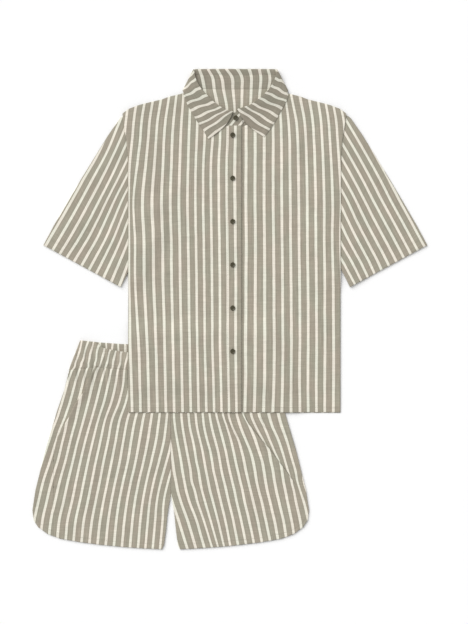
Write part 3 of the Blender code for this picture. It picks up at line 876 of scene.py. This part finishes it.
SEAM_PRESS = 0.0003  # how far the stand's lower edge is pressed into the panels
COLLAR_WALL = CLOTH * 1.2
STAND_STRIPE = (-0.0059, 0.6084, 0.83, 0.0190)  # x, y and slope of a front stripe, and the pitch
STAND_FRONT = 0.6550  # the stand's front lies below this height


def make_stand():
    """The upright band round the neckline, laid flat at the front."""
    ax, ay, bx, by = STAND_END
    lines = []
    for side, place, neck, roll, _ in collar_stations():
        lines.append((side, place, neck, lerp(neck, roll, STAND_SHARE[place])))
    for end, side in ((0, -1), (-1, 1)):
        lines[end] = side, "front", np.array((side * ax, ay)), np.array((side * bx, by))
    net = []
    for side, place, low, high in lines:
        row = []
        for t, press in ((0, SEAM_PRESS), (0.5, 0), (1, 0)):
            x, y = lerp(low, high, t)
            row.append((x, y, stand_height(side, place, x, y) - press))
        net.append(row)
    x, y, z = np.moveaxis(refine(net, 8, 5), -1, 0)
    behind = stripe_at(COLLAR_INSIDE, COLLAR_NUMBERS, 1, x, y)
    px, py, slope, pitch = STAND_STRIPE
    ahead = (x - px - slope * (y - py)) / pitch
    number = lerp(behind, ahead, smooth((STAND_FRONT - y) / 0.02))
    return shell("collar_stand", x, y, z, number, y, SHIRT_AT, wall=COLLAR_WALL, finish=painted_shade_collar_cotton)


ROLL_LIFT = {"back": 0.0016, "side": 0.0060, "front": 0.0042}
FRONT_BOW = 0.0070  # how far the front edge of each leaf bows
FRONT_PUFF = 0.45  # and the share of the roll's lift that is left there
LEAF_PRESS = 0.0006  # how far a leaf's edge lies below its layer
ROW_STEPS = 10  # steps from one row of the fall to the next
ROLL_STEP = 9  # the step across a row after which the stripes are the leaf's
STEP_LENGTH = 0.0022  # and the cloth in each step
FALL_BELOW = 0.03  # the fall starts this share of the way below the stand's top edge
FALL_PRESS = 0.0008  # and lies this far behind its middle
# Out on a leaf: the share of the way to its edge, of the roll's lift and of the front edge's bow
LEAF_SHARES = ((0.04, 0.90, 0.10), (0.30, 0.55, 0.90), (0.65, 0.15, 0.85), (1.00, 0, 0))


def fall_row(side, place, neck, roll, edge, bow=0, puff=1):
    """Points across the fall, up inside the stand, over the roll and out to the leaf's edge."""
    lift = ROLL_LIFT[place] * puff
    start = lerp(neck, roll, STAND_SHARE[place] - FALL_BELOW)
    row = []
    for (x, y), raised in ((start, -FALL_PRESS), (lerp(roll, start, 0.25), lift * 0.6)):
        row.append((x, y, stand_height(side, place, x, y) + raised))
    reach = edge - roll
    normal = np.array((reach[1], -reach[0])) * side / np.linalg.norm(reach)
    leaf = []
    for share, raised, bend in LEAF_SHARES:
        x, y = roll + reach * share + normal * bow * bend
        if place == "back":
            z = middle(0)
        else:
            z = middle(leaf_level(x)) + collar_rest(x, y)
            z = z if place == "front" else (middle(0) + z) / 2
            z += lift * raised - LEAF_PRESS * share**2
        leaf.append((x, y, z))
    top = (row[-1][2] + leaf[0][2]) / 2 + lift * 0.35
    return [*row, (*roll, top), *leaf]


def make_fall():
    """The collar's fall, one surface with both leaves."""
    stations = collar_stations()
    last = len(stations) - 1
    net = [fall_row(*station) for station in stations]
    for end in (0, last):
        net[end] = fall_row(*stations[end], bow=FRONT_BOW, puff=FRONT_PUFF)
    grid = refine(net, ROW_STEPS, 5)
    x, y, z = np.moveaxis(grid, -1, 0)
    z = np.maximum(z, CLOTH)  # the smooth curve would dip into the surface beside the side folds
    steps = np.arange(grid.shape[1])[None] + 0 * x
    inside = stripe_at(COLLAR_INSIDE, COLLAR_NUMBERS, 1, x, y)
    leaf = np.where(x < 0, fan_at(LEAF_RIGHT, -x, y), fan_at(LEAF_LEFT, x, y))
    leaf += 0.06 * np.sin(steps * 0.62 + 1.3 * leaf) * smooth((steps - 14) / 6)
    station = np.arange(grid.shape[0])[:, None] / ROW_STEPS + 0 * x
    side_right, side_left = len(COLLAR_RIGHT), last - len(COLLAR_LEFT)
    front = (station < side_right + 0.05) | (station > side_left - 0.05)
    outer = np.where(front, leaf, x / STRIPE_PITCH)
    number = np.where(steps > ROLL_STEP, outer, inside)
    length = steps * STEP_LENGTH
    return shell("collar_fall", x, y, z, number, length, SHIRT_AT, wall=COLLAR_WALL, finish=painted_shade_collar_cotton)


def coons(bottom, top, left, right, columns, rows):
    """x and y of the surface between four edges, as arrays of rows by columns."""
    u, v = np.linspace(0, 1, columns), np.linspace(0, 1, rows)
    low, high = np.stack(along(bottom, u), -1)[None], np.stack(along(top, u), -1)[None]
    near, far = np.stack(along(left, v), -1)[:, None], np.stack(along(right, v), -1)[:, None]
    u, v = u[None, :, None], v[:, None, None]
    corners = lerp(lerp(low[:, :1], low[:, -1:], u), lerp(high[:, :1], high[:, -1:], u), v)
    grid = lerp(near, far, u) + lerp(low, high, v) - corners
    return grid[..., 0], grid[..., 1]


# The fold that runs down from the waist of the right leg: millimetres out and up, the share
# of a stripe that it hides, and its height
TUCK_RIGHT = (
    (152, 392, 0.00, 0.0),
    (156, 385, 0.22, 3.6),
    (166, 366, 0.52, 3.0),
    (178, 345, 0.70, 2.6),
    (182.5, 329, 0.72, 3.0),
    (200, 305, 0.66, 2.8),
    (212, 278, 0.45, 2.2),
    (229, 251, 0.15, 1.2),
    (246, 220, 0.00, 0.0),
)
# The sharper crease on the left leg, whose stripes already follow it in their table
TUCK_LEFT = (
    (146, 296, 0.00, 0.0),
    (152, 285, 0.00, 0.8),
    (156, 273, 0.00, 1.8),
    (161, 264, 0.00, 2.2),
    (173, 249, 0.00, 2.2),
    (190, 228, 0.00, 2.4),
    (205, 212, 0.00, 2.2),
    (223, 187, 0.00, 2.2),
    (239, 167, 0.00, 1.8),
    (251, 150, 0.00, 1.4),
    (265, 133, 0.00, 0.0),
)
PLEAT = (0.1500, 0.3875, 0.0028, 0.0080, 0.0030)  # out, up, half width, half height, rise
TUCK_LIP = 0.0022  # how far the fold's edge moves out
TUCK_FOOT = 0.35  # and the share of that by which its foot follows
TUCK_EASE = 0.010  # the cloth leans out and rises over about this distance


def read_tuck(tuck, y):
    """The tuck's distance out, hidden share and height at each height of the leg."""
    table = np.array(tuck[::-1])
    knots = table[:, 1] / 1000
    out = np.interp(y, knots, table[:, 0]) / 1000
    return out, np.interp(y, knots, table[:, 2]), np.interp(y, knots, table[:, 3]) / 1000


def follow_tuck(tuck, out, y):
    """Slides the columns of a leg along its rows until one follows the tuck. Gives its number."""
    count = out.shape[1]
    even = np.linspace(0, 1, count)
    line, _, _ = read_tuck(tuck, y)
    share = np.array([np.interp(0, past, even) for past in out - line])
    column = int(share.max() * 0.8 * count)
    inner = np.linspace(0, 1, column + 1)
    outer = np.linspace(0, 1, count - column - 1)
    places = [np.concatenate([f * inner, f + (1 - f) * outer]) for f in share]
    out = np.array([np.interp(place, even, row) for place, row in zip(places, out)])
    y = np.array([np.interp(place, even, row) for place, row in zip(places, y)])
    return out, y, column


def raise_tuck(tuck, out, y, column):
    """The points moved onto the tuck, and their lift."""
    line, _, height = read_tuck(tuck, y)
    near = np.exp(-(((out - line) / TUCK_EASE) ** 2))
    near[:, column + 1 :] = 0
    lift = height * near
    lift[:, column + 1] = -0.0003 * (height[:, column + 1] > 0)
    near[:, column + 1] = TUCK_FOOT
    return out + TUCK_LIP * smooth(height / 0.002) * near, lift


GATHER_PITCH = 0.0135
GATHER_DEPTH = 0.0012
GATHER_RUN = 0.0750
GATHER_TOP = 0.3770  # the legs' gathers are full at this height
PHASE = 2.0  # where the uneven widths of the gathers start


def gathers(x, y, top):
    """Small folds of uneven width that fade away below the waistband."""
    phase = x / GATHER_PITCH * math.tau
    wave = np.sin(phase + 1.7 * np.sin(x * 61 + PHASE)) + 0.5 * np.sin(phase * 1.63 + PHASE)
    fade = smooth((y - top + GATHER_RUN) / GATHER_RUN) ** 1.5
    return GATHER_DEPTH * (wave * 0.5 + 0.75) * fade


LEG_HEM = 0.0080
LEG_LINE = 0.0100  # the stitches' distance from the edge of a leg's hem
CASING_RUN = 0.0300  # the front rises to the casing's middle over this distance


def make_leg(name, side, level, table, numbers, trim, tuck=None):
    """One layer of a leg, from its hem to just inside the casing."""
    top = [SHORTS_INNER[-1]]
    top += [(x, y + CASING_LAP) for x, y in BAND_BOTTOM[1:-1]]
    top.append((SHORTS_SIDE[-1][0], BAND_BOTTOM[-1][1] + CASING_LAP))
    columns, rows = (220, 190) if level else (98, 96)
    out, y = coons(SHORTS_HEM, top, SHORTS_INNER, SHORTS_SIDE, columns, rows)
    out *= 1 - trim / SHORTS_SIDE[0][0]
    flat_out, raised = out, 0
    if tuck:
        flat_out, y, column = follow_tuck(tuck, out, y)
        out, raised = raise_tuck(tuck, flat_out, y, column)
    lift = shorts_relief(side * out, y) + level * gathers(side * out, y, GATHER_TOP)
    rim = read(BAND_BOTTOM, out)
    meet = smooth((y - rim + CASING_RUN) / CASING_RUN)
    z = middle(level) + lift + raised + meet * level * (BAND_WALL / 2 + BAND_LAYER - middle(1))
    z[-1] -= 0.0001 * level
    number = stripe_at(table, numbers, side, side * flat_out, y)
    if tuck:
        _, hidden, _ = read_tuck(tuck, y)
        hidden[:, : column + 1] = 0
        number = number + hidden
    number = side * number
    edge = np.minimum(y - read(SHORTS_HEM, out), read([(b, a) for a, b in SHORTS_SIDE], y) - out)
    ply = 1 - smooth((edge - LEG_HEM) / PLY_RUN)
    return shell(name, side * out, y, z, number, y, SHORTS_AT, ply=ply)


BAND_PUFF = 0.0012
BAND_BACK = 0.4340  # height on the shorts that the stripes of the casing's back layer are read at


def make_waistband():
    """The elastic casing, a tube that lies flat, with ripples and one pleat on its front."""
    rows, across, turn = 22, 190, 7
    half = BAND_LAYER / 2
    reach, bulge, rise = tube_section(across, turn)
    reach = 2 * reach - 1
    ahead = np.clip(rise, 0, 1)
    share = np.linspace(0, 1, rows)[:, None]
    width = lerp(BAND_BOTTOM_WIDTH, BAND_TOP_WIDTH, share)
    x = reach * (width - half) + bulge * half
    low = read(BAND_BOTTOM, np.abs(reach) * BAND_BOTTOM_WIDTH)
    front = read(BAND_TOP_FRONT, np.abs(reach) * BAND_TOP_WIDTH)
    back = read(BAND_TOP_BACK, np.abs(reach) * BAND_TOP_WIDTH)
    y = lerp(low, lerp(back, front, (rise + 1) / 2), share)
    px, py, half_wide, half_tall, high = PLEAT
    pleat = high * np.exp(-(((x + px) / half_wide) ** 2) - ((y - py) / half_tall) ** 2)
    lift = gathers(x, 0 * y + 1, 0) + BAND_PUFF * smooth(share / 0.3) + pleat
    z = BAND_WALL / 2 + (rise + 1) * half + lift * ahead
    print_y = np.where(rise > 0, y, BAND_BACK)
    left = stripe_at(LEG_LEFT, LEG_LEFT_NUMBERS, 1, x, print_y)
    # The right leg's tuck starts in the casing, as a pleat that swallows part of a stripe
    line, hidden, _ = read_tuck(TUCK_RIGHT, print_y)
    past = smooth((-x - line) / 0.005 + 0.5)
    right = -stripe_at(LEG_RIGHT, LEG_NUMBERS, -1, x, print_y) - hidden * past
    waver = 0.10 * np.sin(x * 190) * np.sin(share * 5 + x * 60)
    number = np.where(x < 0, right, left) + waver
    number = np.concatenate([number, number[:, :1]], axis=1)
    length = np.concatenate([y, y[:, :1]], axis=1) - BAND_BOTTOM[0][1]
    ply = np.repeat(smooth((share - 0.02) / 0.12), x.shape[1], axis=1)
    return shell("waistband", x, y, z, number, length, SHORTS_AT, ring=True, ply=ply)


# Stitches

STITCH = 0.0025
STITCH_GAP = 0.0011
STITCH_HALF = 0.00020
SATIN = 0.0005  # from one stitch of a buttonhole to the next


def lie_on(name, rows, columns, face):
    """Points on a piece's surface at fractional rows and columns of its grid, and the ways out."""
    points, wall = surfaces[name]
    rows, columns = np.broadcast_arrays(np.asarray(rows, float), np.asarray(columns, float))
    r = np.clip(rows.astype(int), 0, points.shape[0] - 2)
    c = np.clip(columns.astype(int), 0, points.shape[1] - 2)
    down, over = (rows - r)[:, None], (columns - c)[:, None]
    near = lerp(points[r, c], points[r, c + 1], over)
    far = lerp(points[r + 1, c], points[r + 1, c + 1], over)
    out = np.cross(points[r, c + 1] - points[r, c], points[r + 1, c] - points[r, c])
    size = np.linalg.norm(out, axis=1)[:, None]
    # Two columns meet along the foot of the tuck, where the cloth lies level
    out = np.where(size > 1e-12, out * face / np.maximum(size, 1e-12), (0, 0, 1))
    return lerp(near, far, down) + out * wall / 2, out


def run_stitches(name, rows, columns, face):
    """Both ends and the way out of each stitch along a line on a piece's grid."""
    places, outs = lie_on(name, rows, columns, face)
    reach = np.concatenate([[0], np.cumsum(np.linalg.norm(np.diff(places, axis=0), axis=1))])
    starts = np.arange(STITCH_GAP, reach[-1] - STITCH, STITCH + STITCH_GAP)

    def at(values, where):
        return np.stack([np.interp(where, reach, column) for column in values.T], axis=-1)

    return at(places, starts), at(places, starts + STITCH), at(outs, starts + STITCH / 2)


def sew(name, seams):
    """One mesh of all the stitches in some seams, each a spindle of thread half sunk in the cloth."""
    start, end, out = (np.concatenate(part) for part in zip(*seams))
    run = end - start
    side = np.cross(run, out)
    side *= STITCH_HALF / np.linalg.norm(side, axis=1)[:, None]
    up = out * STITCH_HALF
    sink = up * 0.4
    verts = [start - sink]
    for share in (0.18, 0.82):
        centre = start + run * share
        verts += [centre + up, centre + side, centre - up, centre - side]
    verts.append(end - sink)
    verts = np.stack(verts, axis=1).reshape(-1, 3)
    pattern = []
    for k in range(4):
        a, b = 1 + k, 1 + (k + 1) % 4
        pattern += [(0, b, a, a), (a, b, b + 4, a + 4), (9, a + 4, b + 4, b + 4)]
    faces = []
    for base in range(0, len(verts), 10):
        faces += [tuple(dict.fromkeys(base + v for v in corner)) for corner in pattern]
    mesh = bpy.data.meshes.new(name)
    mesh.from_pydata(verts.tolist(), [], faces)
    mesh.shade_smooth()
    mesh.materials.append(thread)
    piece = add(name, mesh)
    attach(piece, "root")
    return piece


def rows_at(name, at, heights, columns):
    """The fractional row of a panel's grid at each height, in the column that goes with it."""
    ups = surfaces[name][0][..., 1] - at[1]
    count = np.arange(len(ups))
    pairs = zip(np.broadcast_to(heights, columns.shape), columns)
    return np.array([np.interp(height, ups[:, int(column)], count) for height, column in pairs])


def column_at(name, x):
    """The fractional column of a panel of the shirt at x on its lowest row."""
    across = surfaces[name][0][0, :, 0] - SHIRT_AT[0]
    return np.interp(x, across, np.arange(len(across)))


SHIRT_LINE = 0.0115  # how far from each edge its stitches run
PLACKET_LINES = (OVER_EDGE - 0.0028, OVER_EDGE - 0.0290)
LEAF_LINE = 0.0050
LEAF_COLUMN = 18  # the column of the fall where a leaf's end stitches start
CASING_ROW = 1.2
BUTTONHOLE = 0.0140
BUTTONHOLE_HALF = 0.0011


def across_grid(name):
    """The numbers of a grid's columns."""
    return np.arange(surfaces[name][0].shape[1], dtype=float)


def up_grid(name):
    """The numbers of a grid's rows."""
    return np.arange(surfaces[name][0].shape[0], dtype=float)


def back_from_edge(points, distance):
    """The fractional index that far from the last point of each row of points."""
    found = []
    for row in points:
        steps = np.linalg.norm(np.diff(row[::-1], axis=0), axis=1)
        reach = np.concatenate([[0], np.cumsum(steps)])
        found.append(len(row) - 1 - np.interp(distance, reach, np.arange(len(row))))
    return np.array(found)


def sew_shirt():
    """Stitches of the hems, the placket, the collar's edge and the stand's seam."""
    seams = []
    for word, face in (("back", -1), ("front_right", 1), ("front_left", 1)):
        name = f"shirt_{word}"
        columns = across_grid(name)
        rows = rows_at(name, SHIRT_AT, SHIRT_LINE, columns)
        seams.append(run_stitches(name, rows, columns, face))
    name = "shirt_front_right"
    for x in PLACKET_LINES:
        seams.append(run_stitches(name, up_grid(name)[:-1], column_at(name, x), 1))
    for name, face in (("sleeve_right", 1), ("sleeve_left", -1)):
        row = SLEEVE_LINE * (len(up_grid(name)) - 1)
        seams.append(run_stitches(name, row, across_grid(name), face))
    name = "collar_fall"
    points = surfaces[name][0]
    edge = back_from_edge(points, LEAF_LINE)
    near = len(points) - 1 - back_from_edge(points[::-1].swapaxes(0, 1), LEAF_LINE)
    far = back_from_edge(points.swapaxes(0, 1), LEAF_LINE)
    columns = np.arange(LEAF_COLUMN, edge[3], 0.5)
    low = np.interp(columns, np.arange(len(near)), near)
    high = np.interp(columns, np.arange(len(far)), far)
    rows = np.arange(low[-1], high[-1], 0.5)
    edge = np.interp(rows, up_grid(name), edge)
    rows = np.concatenate([low, rows, high[::-1]])
    columns = np.concatenate([columns, edge, columns[::-1]])
    seams.append(run_stitches(name, rows, columns, -1))
    name = "collar_stand"
    seams.append(run_stitches(name, up_grid(name), 0.5, -1))
    return sew("shirt_stitches", seams)


def sew_shorts():
    """Stitches of the legs' hems and of the casing."""
    seams = []
    for word, side in (("right", -1), ("left", 1)):
        for layer, face in (("front", side), ("back", -side)):
            name = f"shorts_{layer}_{word}"
            columns = across_grid(name)
            low = surfaces[name][0][0, :, 1] - SHORTS_AT[1]
            rows = rows_at(name, SHORTS_AT, low + LEG_LINE, columns)
            seams.append(run_stitches(name, rows, columns, face))
    name = "waistband"
    columns = np.concatenate([across_grid(name), [len(across_grid(name)) - 1.0]])
    seams.append(run_stitches(name, CASING_ROW, columns, 1))
    return sew("shorts_stitches", seams)


def sew_buttonholes():
    """Close bars of thread down both sides of each buttonhole."""
    seams = []
    name = "shirt_front_right"
    for index in range(6):
        low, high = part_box(f"button_{index + 1}")
        x, y = (low.x + high.x) / 2 - SHIRT_AT[0], (low.y + high.y) / 2 - SHIRT_AT[1]
        ups = np.arange(y - BUTTONHOLE / 2, y + BUTTONHOLE / 2, SATIN)
        rows = rows_at(name, SHIRT_AT, ups, column_at(name, x) + 0 * ups)
        for side in (-1, 1):
            inner = column_at(name, x + side * 0.0002)
            outer = column_at(name, x + side * BUTTONHOLE_HALF)
            start, out = lie_on(name, rows, inner, 1)
            end, _ = lie_on(name, rows, outer, 1)
            seams.append((start, end, out))
    return sew("buttonhole_stitches", seams)


# Buttons

HOLE_OUT = 0.22  # a hole's distance out and up from the middle, as a share of the radius
HOLE_RADIUS = 0.12
HOLES = ((-HOLE_OUT, -HOLE_OUT), (HOLE_OUT, -HOLE_OUT), (-HOLE_OUT, HOLE_OUT), (HOLE_OUT, HOLE_OUT))
BAR_RADIUS = 0.00055
BAR_RISE = 0.72  # the bars' height, as a share of the thickness
BAR_LENGTH = 2.6  # and their length, as a share of a hole's distance out
BUTTON_PROFILE = (  # radius, height
    (0.80, 0.0), (0.93, 0.04), (1.0, 0.25), (1.0, 0.62), (0.97, 0.86), (0.91, 0.99), (0.83, 1.0),
    (0.76, 0.94), (0.70, 0.80), (0.62, 0.70), (0.45, 0.66), (0.20, 0.64),
)


def turned(profile, sides, at=(0, 0)):
    """Points and faces of a solid turned round an upright axis, closed at both ends."""
    around = np.linspace(0, math.tau, sides, endpoint=False)
    points = []
    for radius, height in profile:
        points += [(at[0] + radius * math.cos(t), at[1] + radius * math.sin(t), height) for t in around]
    last = (len(profile) - 1) * sides
    faces = [tuple(range(sides))[::-1]]
    for ring in range(0, last, sides):
        for k in range(sides):
            a, b = ring + k, ring + (k + 1) % sides
            faces.append((a, b, b + sides, a + sides))
    return points, faces + [tuple(range(last, last + sides))]


def button_mesh():
    """A four-hole disc with a raised rim, one unit in radius and one unit thick."""
    points, faces = turned(BUTTON_PROFILE, 48)
    disc = bpy.data.meshes.new("disc")
    disc.from_pydata(points, [], faces)
    drills, holes = [], []
    for place in HOLES:
        points, faces = turned(((HOLE_RADIUS, -0.5), (HOLE_RADIUS, 1.5)), 16, place)
        holes += [tuple(len(drills) + k for k in face) for face in faces]
        drills += points
    drill = bpy.data.meshes.new("drill")
    drill.from_pydata(drills, [], holes)
    master = add("button_master", disc)
    cutter = add("button_cutter", drill)
    cut = master.modifiers.new("holes", "BOOLEAN")
    cut.operation = "DIFFERENCE"
    cut.object = cutter
    cut.solver = "EXACT"
    graph = bpy.context.evaluated_depsgraph_get()
    made = bpy.data.meshes.new_from_object(master.evaluated_get(graph))
    for helper in (master, cutter):
        bpy.data.objects.remove(helper)
    return made


def make_button(name):
    """A four-hole button of its solid's size, sewn on with two bars of thread."""
    low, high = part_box(name)
    radius = (high.x - low.x) / 2
    thick = high.z - low.z
    mesh = button_master.copy()
    mesh.transform(Matrix.Diagonal((radius, radius, thick, 1)))
    made = bmesh.new()
    made.from_mesh(mesh)
    for side in (-1, 1):
        turn = Matrix.Rotation(math.pi / 2, 4, "X")
        place = Matrix.Translation((side * HOLE_OUT * radius, 0, BAR_RISE * thick)) @ turn
        added = bmesh.ops.create_cone(
            made,
            cap_ends=True,
            segments=10,
            radius1=BAR_RADIUS,
            radius2=BAR_RADIUS,
            depth=BAR_LENGTH * HOLE_OUT * radius,
            matrix=place,
        )
        for corner in added["verts"]:
            for face in corner.link_faces:
                face.material_index = 1
    made.to_mesh(mesh)
    made.free()
    mesh.shade_smooth()
    mesh.materials.clear()
    mesh.materials.append(button_finish)
    mesh.materials.append(thread)
    mesh.set_sharp_from_angle(angle=math.radians(50))
    piece = add(name + "_disc", mesh)
    piece.location = ((low.x + high.x) / 2, (low.y + high.y) / 2, low.z)
    stands_for(piece, "button", name)
    return piece


# The stage

FLOOR = 4.0  # half the floor's side
FLOOR_DROP = 0.0002
PAPER = (0.93, 0.93, 0.93, 1)
SKY = 0.58
LAMP_ANGLE = 50
LAMP_ENERGY = 2.5
LAMP_AT = (-1.6, 1.7, 1.9)
SENSOR = 36
VIEW_TALL = 624 * 0.0021  # the photo's rows of pixels, and the metres in one
CAMERA_AT = (0.0092, -0.0062, 3.2)


def make_stage():
    """White paper under a white sky, with one soft lamp from the upper left."""
    mesh = bpy.data.meshes.new("floor")
    corners = [(-FLOOR, -FLOOR, 0), (FLOOR, -FLOOR, 0), (FLOOR, FLOOR, 0), (-FLOOR, FLOOR, 0)]
    mesh.from_pydata(corners, [], [(0, 1, 2, 3)])
    floor = add("floor", mesh)
    floor.location.z = -FLOOR_DROP
    paper, tree, shader = new_material("paper")
    plug(tree, shader, {"Base Color": PAPER, "Roughness": 0.9})
    mesh.materials.append(paper)

    scene = bpy.context.scene
    scene.view_settings.view_transform = "Standard"
    scene.world = bpy.data.worlds.new("studio")
    scene.world.use_nodes = True
    tree = scene.world.node_tree
    plug(tree, tree.nodes["Background"], {"Color": (1, 1, 1, 1), "Strength": SKY})

    lamp = bpy.data.lights.new("window", "SUN")
    lamp.angle = math.radians(LAMP_ANGLE)
    lamp.energy = LAMP_ENERGY
    holder = add("window", lamp)
    holder.location = LAMP_AT
    holder.rotation_euler = (-holder.location).to_track_quat("-Z", "Y").to_euler()


def make_camera():
    """Looks straight down, with the photo's frame."""
    view = bpy.data.cameras.new("camera")
    view.sensor_fit = "VERTICAL"
    view.sensor_height = SENSOR
    view.lens = SENSOR * CAMERA_AT[2] / VIEW_TALL
    view.clip_end = 20
    eye = add("camera", view)
    eye.location = CAMERA_AT
    bpy.context.scene.camera = eye


make_camera()
make_stage()
back = make_panel("shirt_back", (-SIDE, SIDE), BACK_NECK, 0.004, BACK_TRIM, BACK, BACK_NUMBERS)
front_right = make_panel(
    "shirt_front_right", (-SIDE, OVER_EDGE), NECKLINE, 0.003, FRONT_TRIM, RIGHT_FRONT, RIGHT_FRONT_NUMBERS, -1
)
front_left = make_panel(
    "shirt_front_left", (UNDER_EDGE, SIDE), NECKLINE, 0.003, FRONT_TRIM, LEFT_FRONT, LEFT_FRONT_NUMBERS
)
sleeve_right = make_sleeve("sleeve_right", -1, SLEEVE_RIGHT)
sleeve_left = make_sleeve("sleeve_left", 1, SLEEVE_LEFT)
stand = make_stand()
fall = make_fall()
legs = [
    make_leg("shorts_front_right", -1, 1, LEG_RIGHT, LEG_NUMBERS, 0.0013, TUCK_RIGHT),
    make_leg("shorts_back_right", -1, 0, LEG_RIGHT, LEG_NUMBERS, 0.0013),
    make_leg("shorts_front_left", 1, 1, LEG_LEFT, LEG_LEFT_NUMBERS, 0.0025, TUCK_LEFT),
    make_leg("shorts_back_left", 1, 0, LEG_LEFT, LEG_LEFT_NUMBERS, 0.0025),
]
waistband = make_waistband()
button_master = button_mesh()
for index in range(7):
    make_button(f"button_{index + 1}")
sew_shirt()
sew_shorts()
sew_buttonholes()
